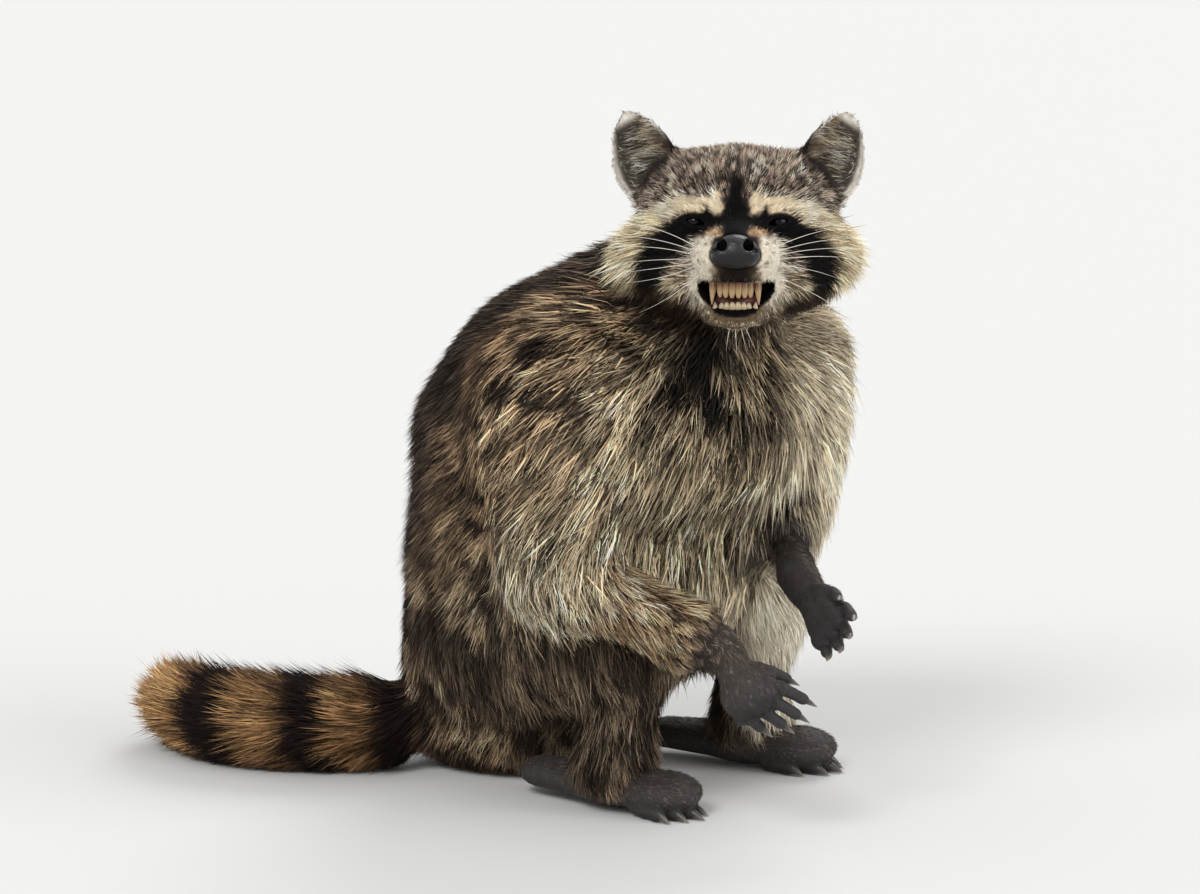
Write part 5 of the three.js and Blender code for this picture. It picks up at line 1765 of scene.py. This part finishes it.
def makeClaws(name, digits, place, radius, length, nodes):
    # each runs on from its digit and drops by hook times its length times the square of the share along it
    c = clawSettings
    steps = np.linspace(0, 1, len(c["taper"]))
    up = place[0][:, 2]
    paths = []
    for path in digits:
        along = (path[3] - path[2]) / np.linalg.norm(path[3] - path[2])
        start = path[3] - along * c["sunk"] + up * radius * 0.15
        paths.append([start + along * s * (length + c["sunk"]) - up * c["hook"] * s * s * length
                      for s in steps])
    radii = [radius * np.array(c["taper"])] * len(digits)
    verts, faces = tubeMesh(paths, radii, 8, flats=[c["flat"]] * len(digits), ups=[up] * len(digits))
    verts[:, 2] = np.maximum(verts[:, 2], 0.3)
    claws = newObject(name, verts, faces)
    outward(claws)
    ring = np.concatenate([np.repeat(steps, 8), [0, 1]])
    light = smooth(np.tile(ring, len(digits)), 0.3, 1.0)[:, None]
    setColours(claws.data, "clawColour", np.array(c["root"]) * (1 - light) + np.array(c["tip"]) * light)
    finish(claws, clawMaterial, "claw", *nodes)


clawNames = {"hand": ("thumb", "index", "middle", "ring", "little"),
             "foot": ("inner", "second", "middle", "fourth", "outer")}
clawRadii = {"hand": handSettings["radius"], "foot": footSettings["toeRadius"]}
for kind, owners in (("hand", armSettings), ("foot", legs)):
    for side, owner in owners.items():
        nodes = [f"claw_{kind}_{side}_{which}" for which in clawNames[kind]]
        makeClaws(f"claws{kind.title()}{side.title()}", owner["digits"], owner["place"], clawRadii[kind],
                  clawSettings[kind], nodes)

# whiskers: long, white, fanned out from the sides of the muzzle
whiskerMaterial, _, _ = makeMaterial("whisker")
whiskers = [  # side, root x, y, z, then reach across, forward and up, and sag
    (-1, 20, -68, -15, 44, 2, 14, 3), (-1, 21, -66, -17, 50, 4, 8, 3), (-1, 21, -66, -19, 52, 6, 3, 3),
    (-1, 21, -65, -21, 46, 8, -3, 1), (-1, 20, -66, -24, 42, 8, -10, -2), (-1, 18, -66, -28, 34, 8, -22, -2),
    (-1, 21, -66, -23, 44, 8, -6, 0),
    (1, 20, -68, -15, 40, 2, 12, 2), (1, 21, -66, -17, 46, 4, 8, 2), (1, 21, -66, -19, 48, 5, 4, 2),
    (1, 21, -65, -21, 50, 8, 0, 2), (1, 20, -66, -24, 38, 8, -8, 2), (1, 18, -66, -28, 48, 9, -26, 2),
    (-1, 3, -64, -58, 2, 6, -13, 1), (1, 0, -64, -58, 1, 7, -15, 1), (1, 3, -64, -58, 3, 6, -13, 1),
    (1, 5, -63, -57, 5, 6, -12, 1),
]
steps = np.linspace(0, 1, 12)
paths = []
for side, x, y, z, across, ahead, rise, sag in whiskers:
    local = np.stack([side * (x + across * steps), y - ahead * np.sin(steps * 2.4) + 10 * steps ** 2,
                      z + rise * steps + sag * 4 * steps * (1 - steps)], -1)
    paths.append(local @ headPlace[0].T + headPlace[1])
verts, faces = tubeMesh(paths, [0.23 * (1 - 0.85 * steps)] * len(paths), 6)
whiskerPiece = newObject("whiskers", verts, faces)
outward(whiskerPiece)
finish(whiskerPiece, whiskerMaterial, "coat")
say("nose, eyes, teeth, claws and whiskers made")

# floor, light and camera

floorMaterial, tree, shader = plainMaterial("floor", 0.9, 0.2)
shader.inputs["Base Color"].default_value = (0.74, 0.74, 0.73, 1)
v = 40000.0  # half the floor's side
corners = [(-v, -v, -0.5), (v, -v, -0.5), (v, v, -0.5), (-v, v, -0.5)]
floor = newObject("floor", corners, [(0, 1, 2, 3)], False)
floor.data.materials.append(floorMaterial)

# how bright the world shines and how bright it shows behind; each sun's direction, strength and spread
lightSettings = {"world": 0.62, "backdrop": 0.84,
                 "suns": [((-0.7, -1.2, 1.3), 1.3, 24), ((1.2, -0.5, 0.6), 1.05, 40),
                          ((0.5, 1.4, 1.2), 0.9, 30)]}
world = bpy.data.worlds.new("world")
bpy.context.scene.world = world
world.use_nodes = True
tree, background = world.node_tree, world.node_tree.nodes["Background"]
path = addNode(tree, "LightPath")
rays = {0: path.outputs["Is Camera Ray"], 1: path.outputs["Is Transmission Ray"]}
seen = addNode(tree, "Math", None, rays, operation="MAXIMUM")
level = addNode(tree, "MapRange", {"To Min": lightSettings["world"], "To Max": lightSettings["backdrop"]},
                {"Value": seen.outputs["Value"]})
tree.links.new(level.outputs["Result"], background.inputs["Strength"])
background.inputs["Color"].default_value = (1, 1, 1, 1)

for index, (place, strength, spread) in enumerate(lightSettings["suns"]):
    light = bpy.data.lights.new(f"sun{index}", "SUN")
    light.energy, light.angle = strength, math.radians(spread)
    lamp = bpy.data.objects.new(f"sun{index}", light)
    lamp.location = place
    lamp.rotation_mode = "QUATERNION"
    lamp.rotation_quaternion = (-Vector(place)).to_track_quat("-Z", "Y")
    bpy.context.scene.collection.objects.link(lamp)

cameraSettings = {"lens": 200, "sensor": 36, "distance": 3.733, "elevation": 11,
                  "aim": (59.468, 0.265, 195.7)}
camera = bpy.data.objects.new("camera", bpy.data.cameras.new("camera"))
camera.data.lens, camera.data.sensor_width = cameraSettings["lens"], cameraSettings["sensor"]
e = math.radians(cameraSettings["elevation"])
back = Vector((0, -math.cos(e), math.sin(e)))
camera.location = Vector(cameraSettings["aim"]) / 1000 + back * cameraSettings["distance"]
camera.rotation_mode = "QUATERNION"
camera.rotation_quaternion = (-back).to_track_quat("-Z", "Y")
camera.data.clip_start, camera.data.clip_end = 0.1, 100
bpy.context.scene.collection.objects.link(camera)
bpy.context.scene.camera = camera
bpy.context.scene.view_settings.view_transform = "Standard"

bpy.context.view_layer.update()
say("all pieces made")
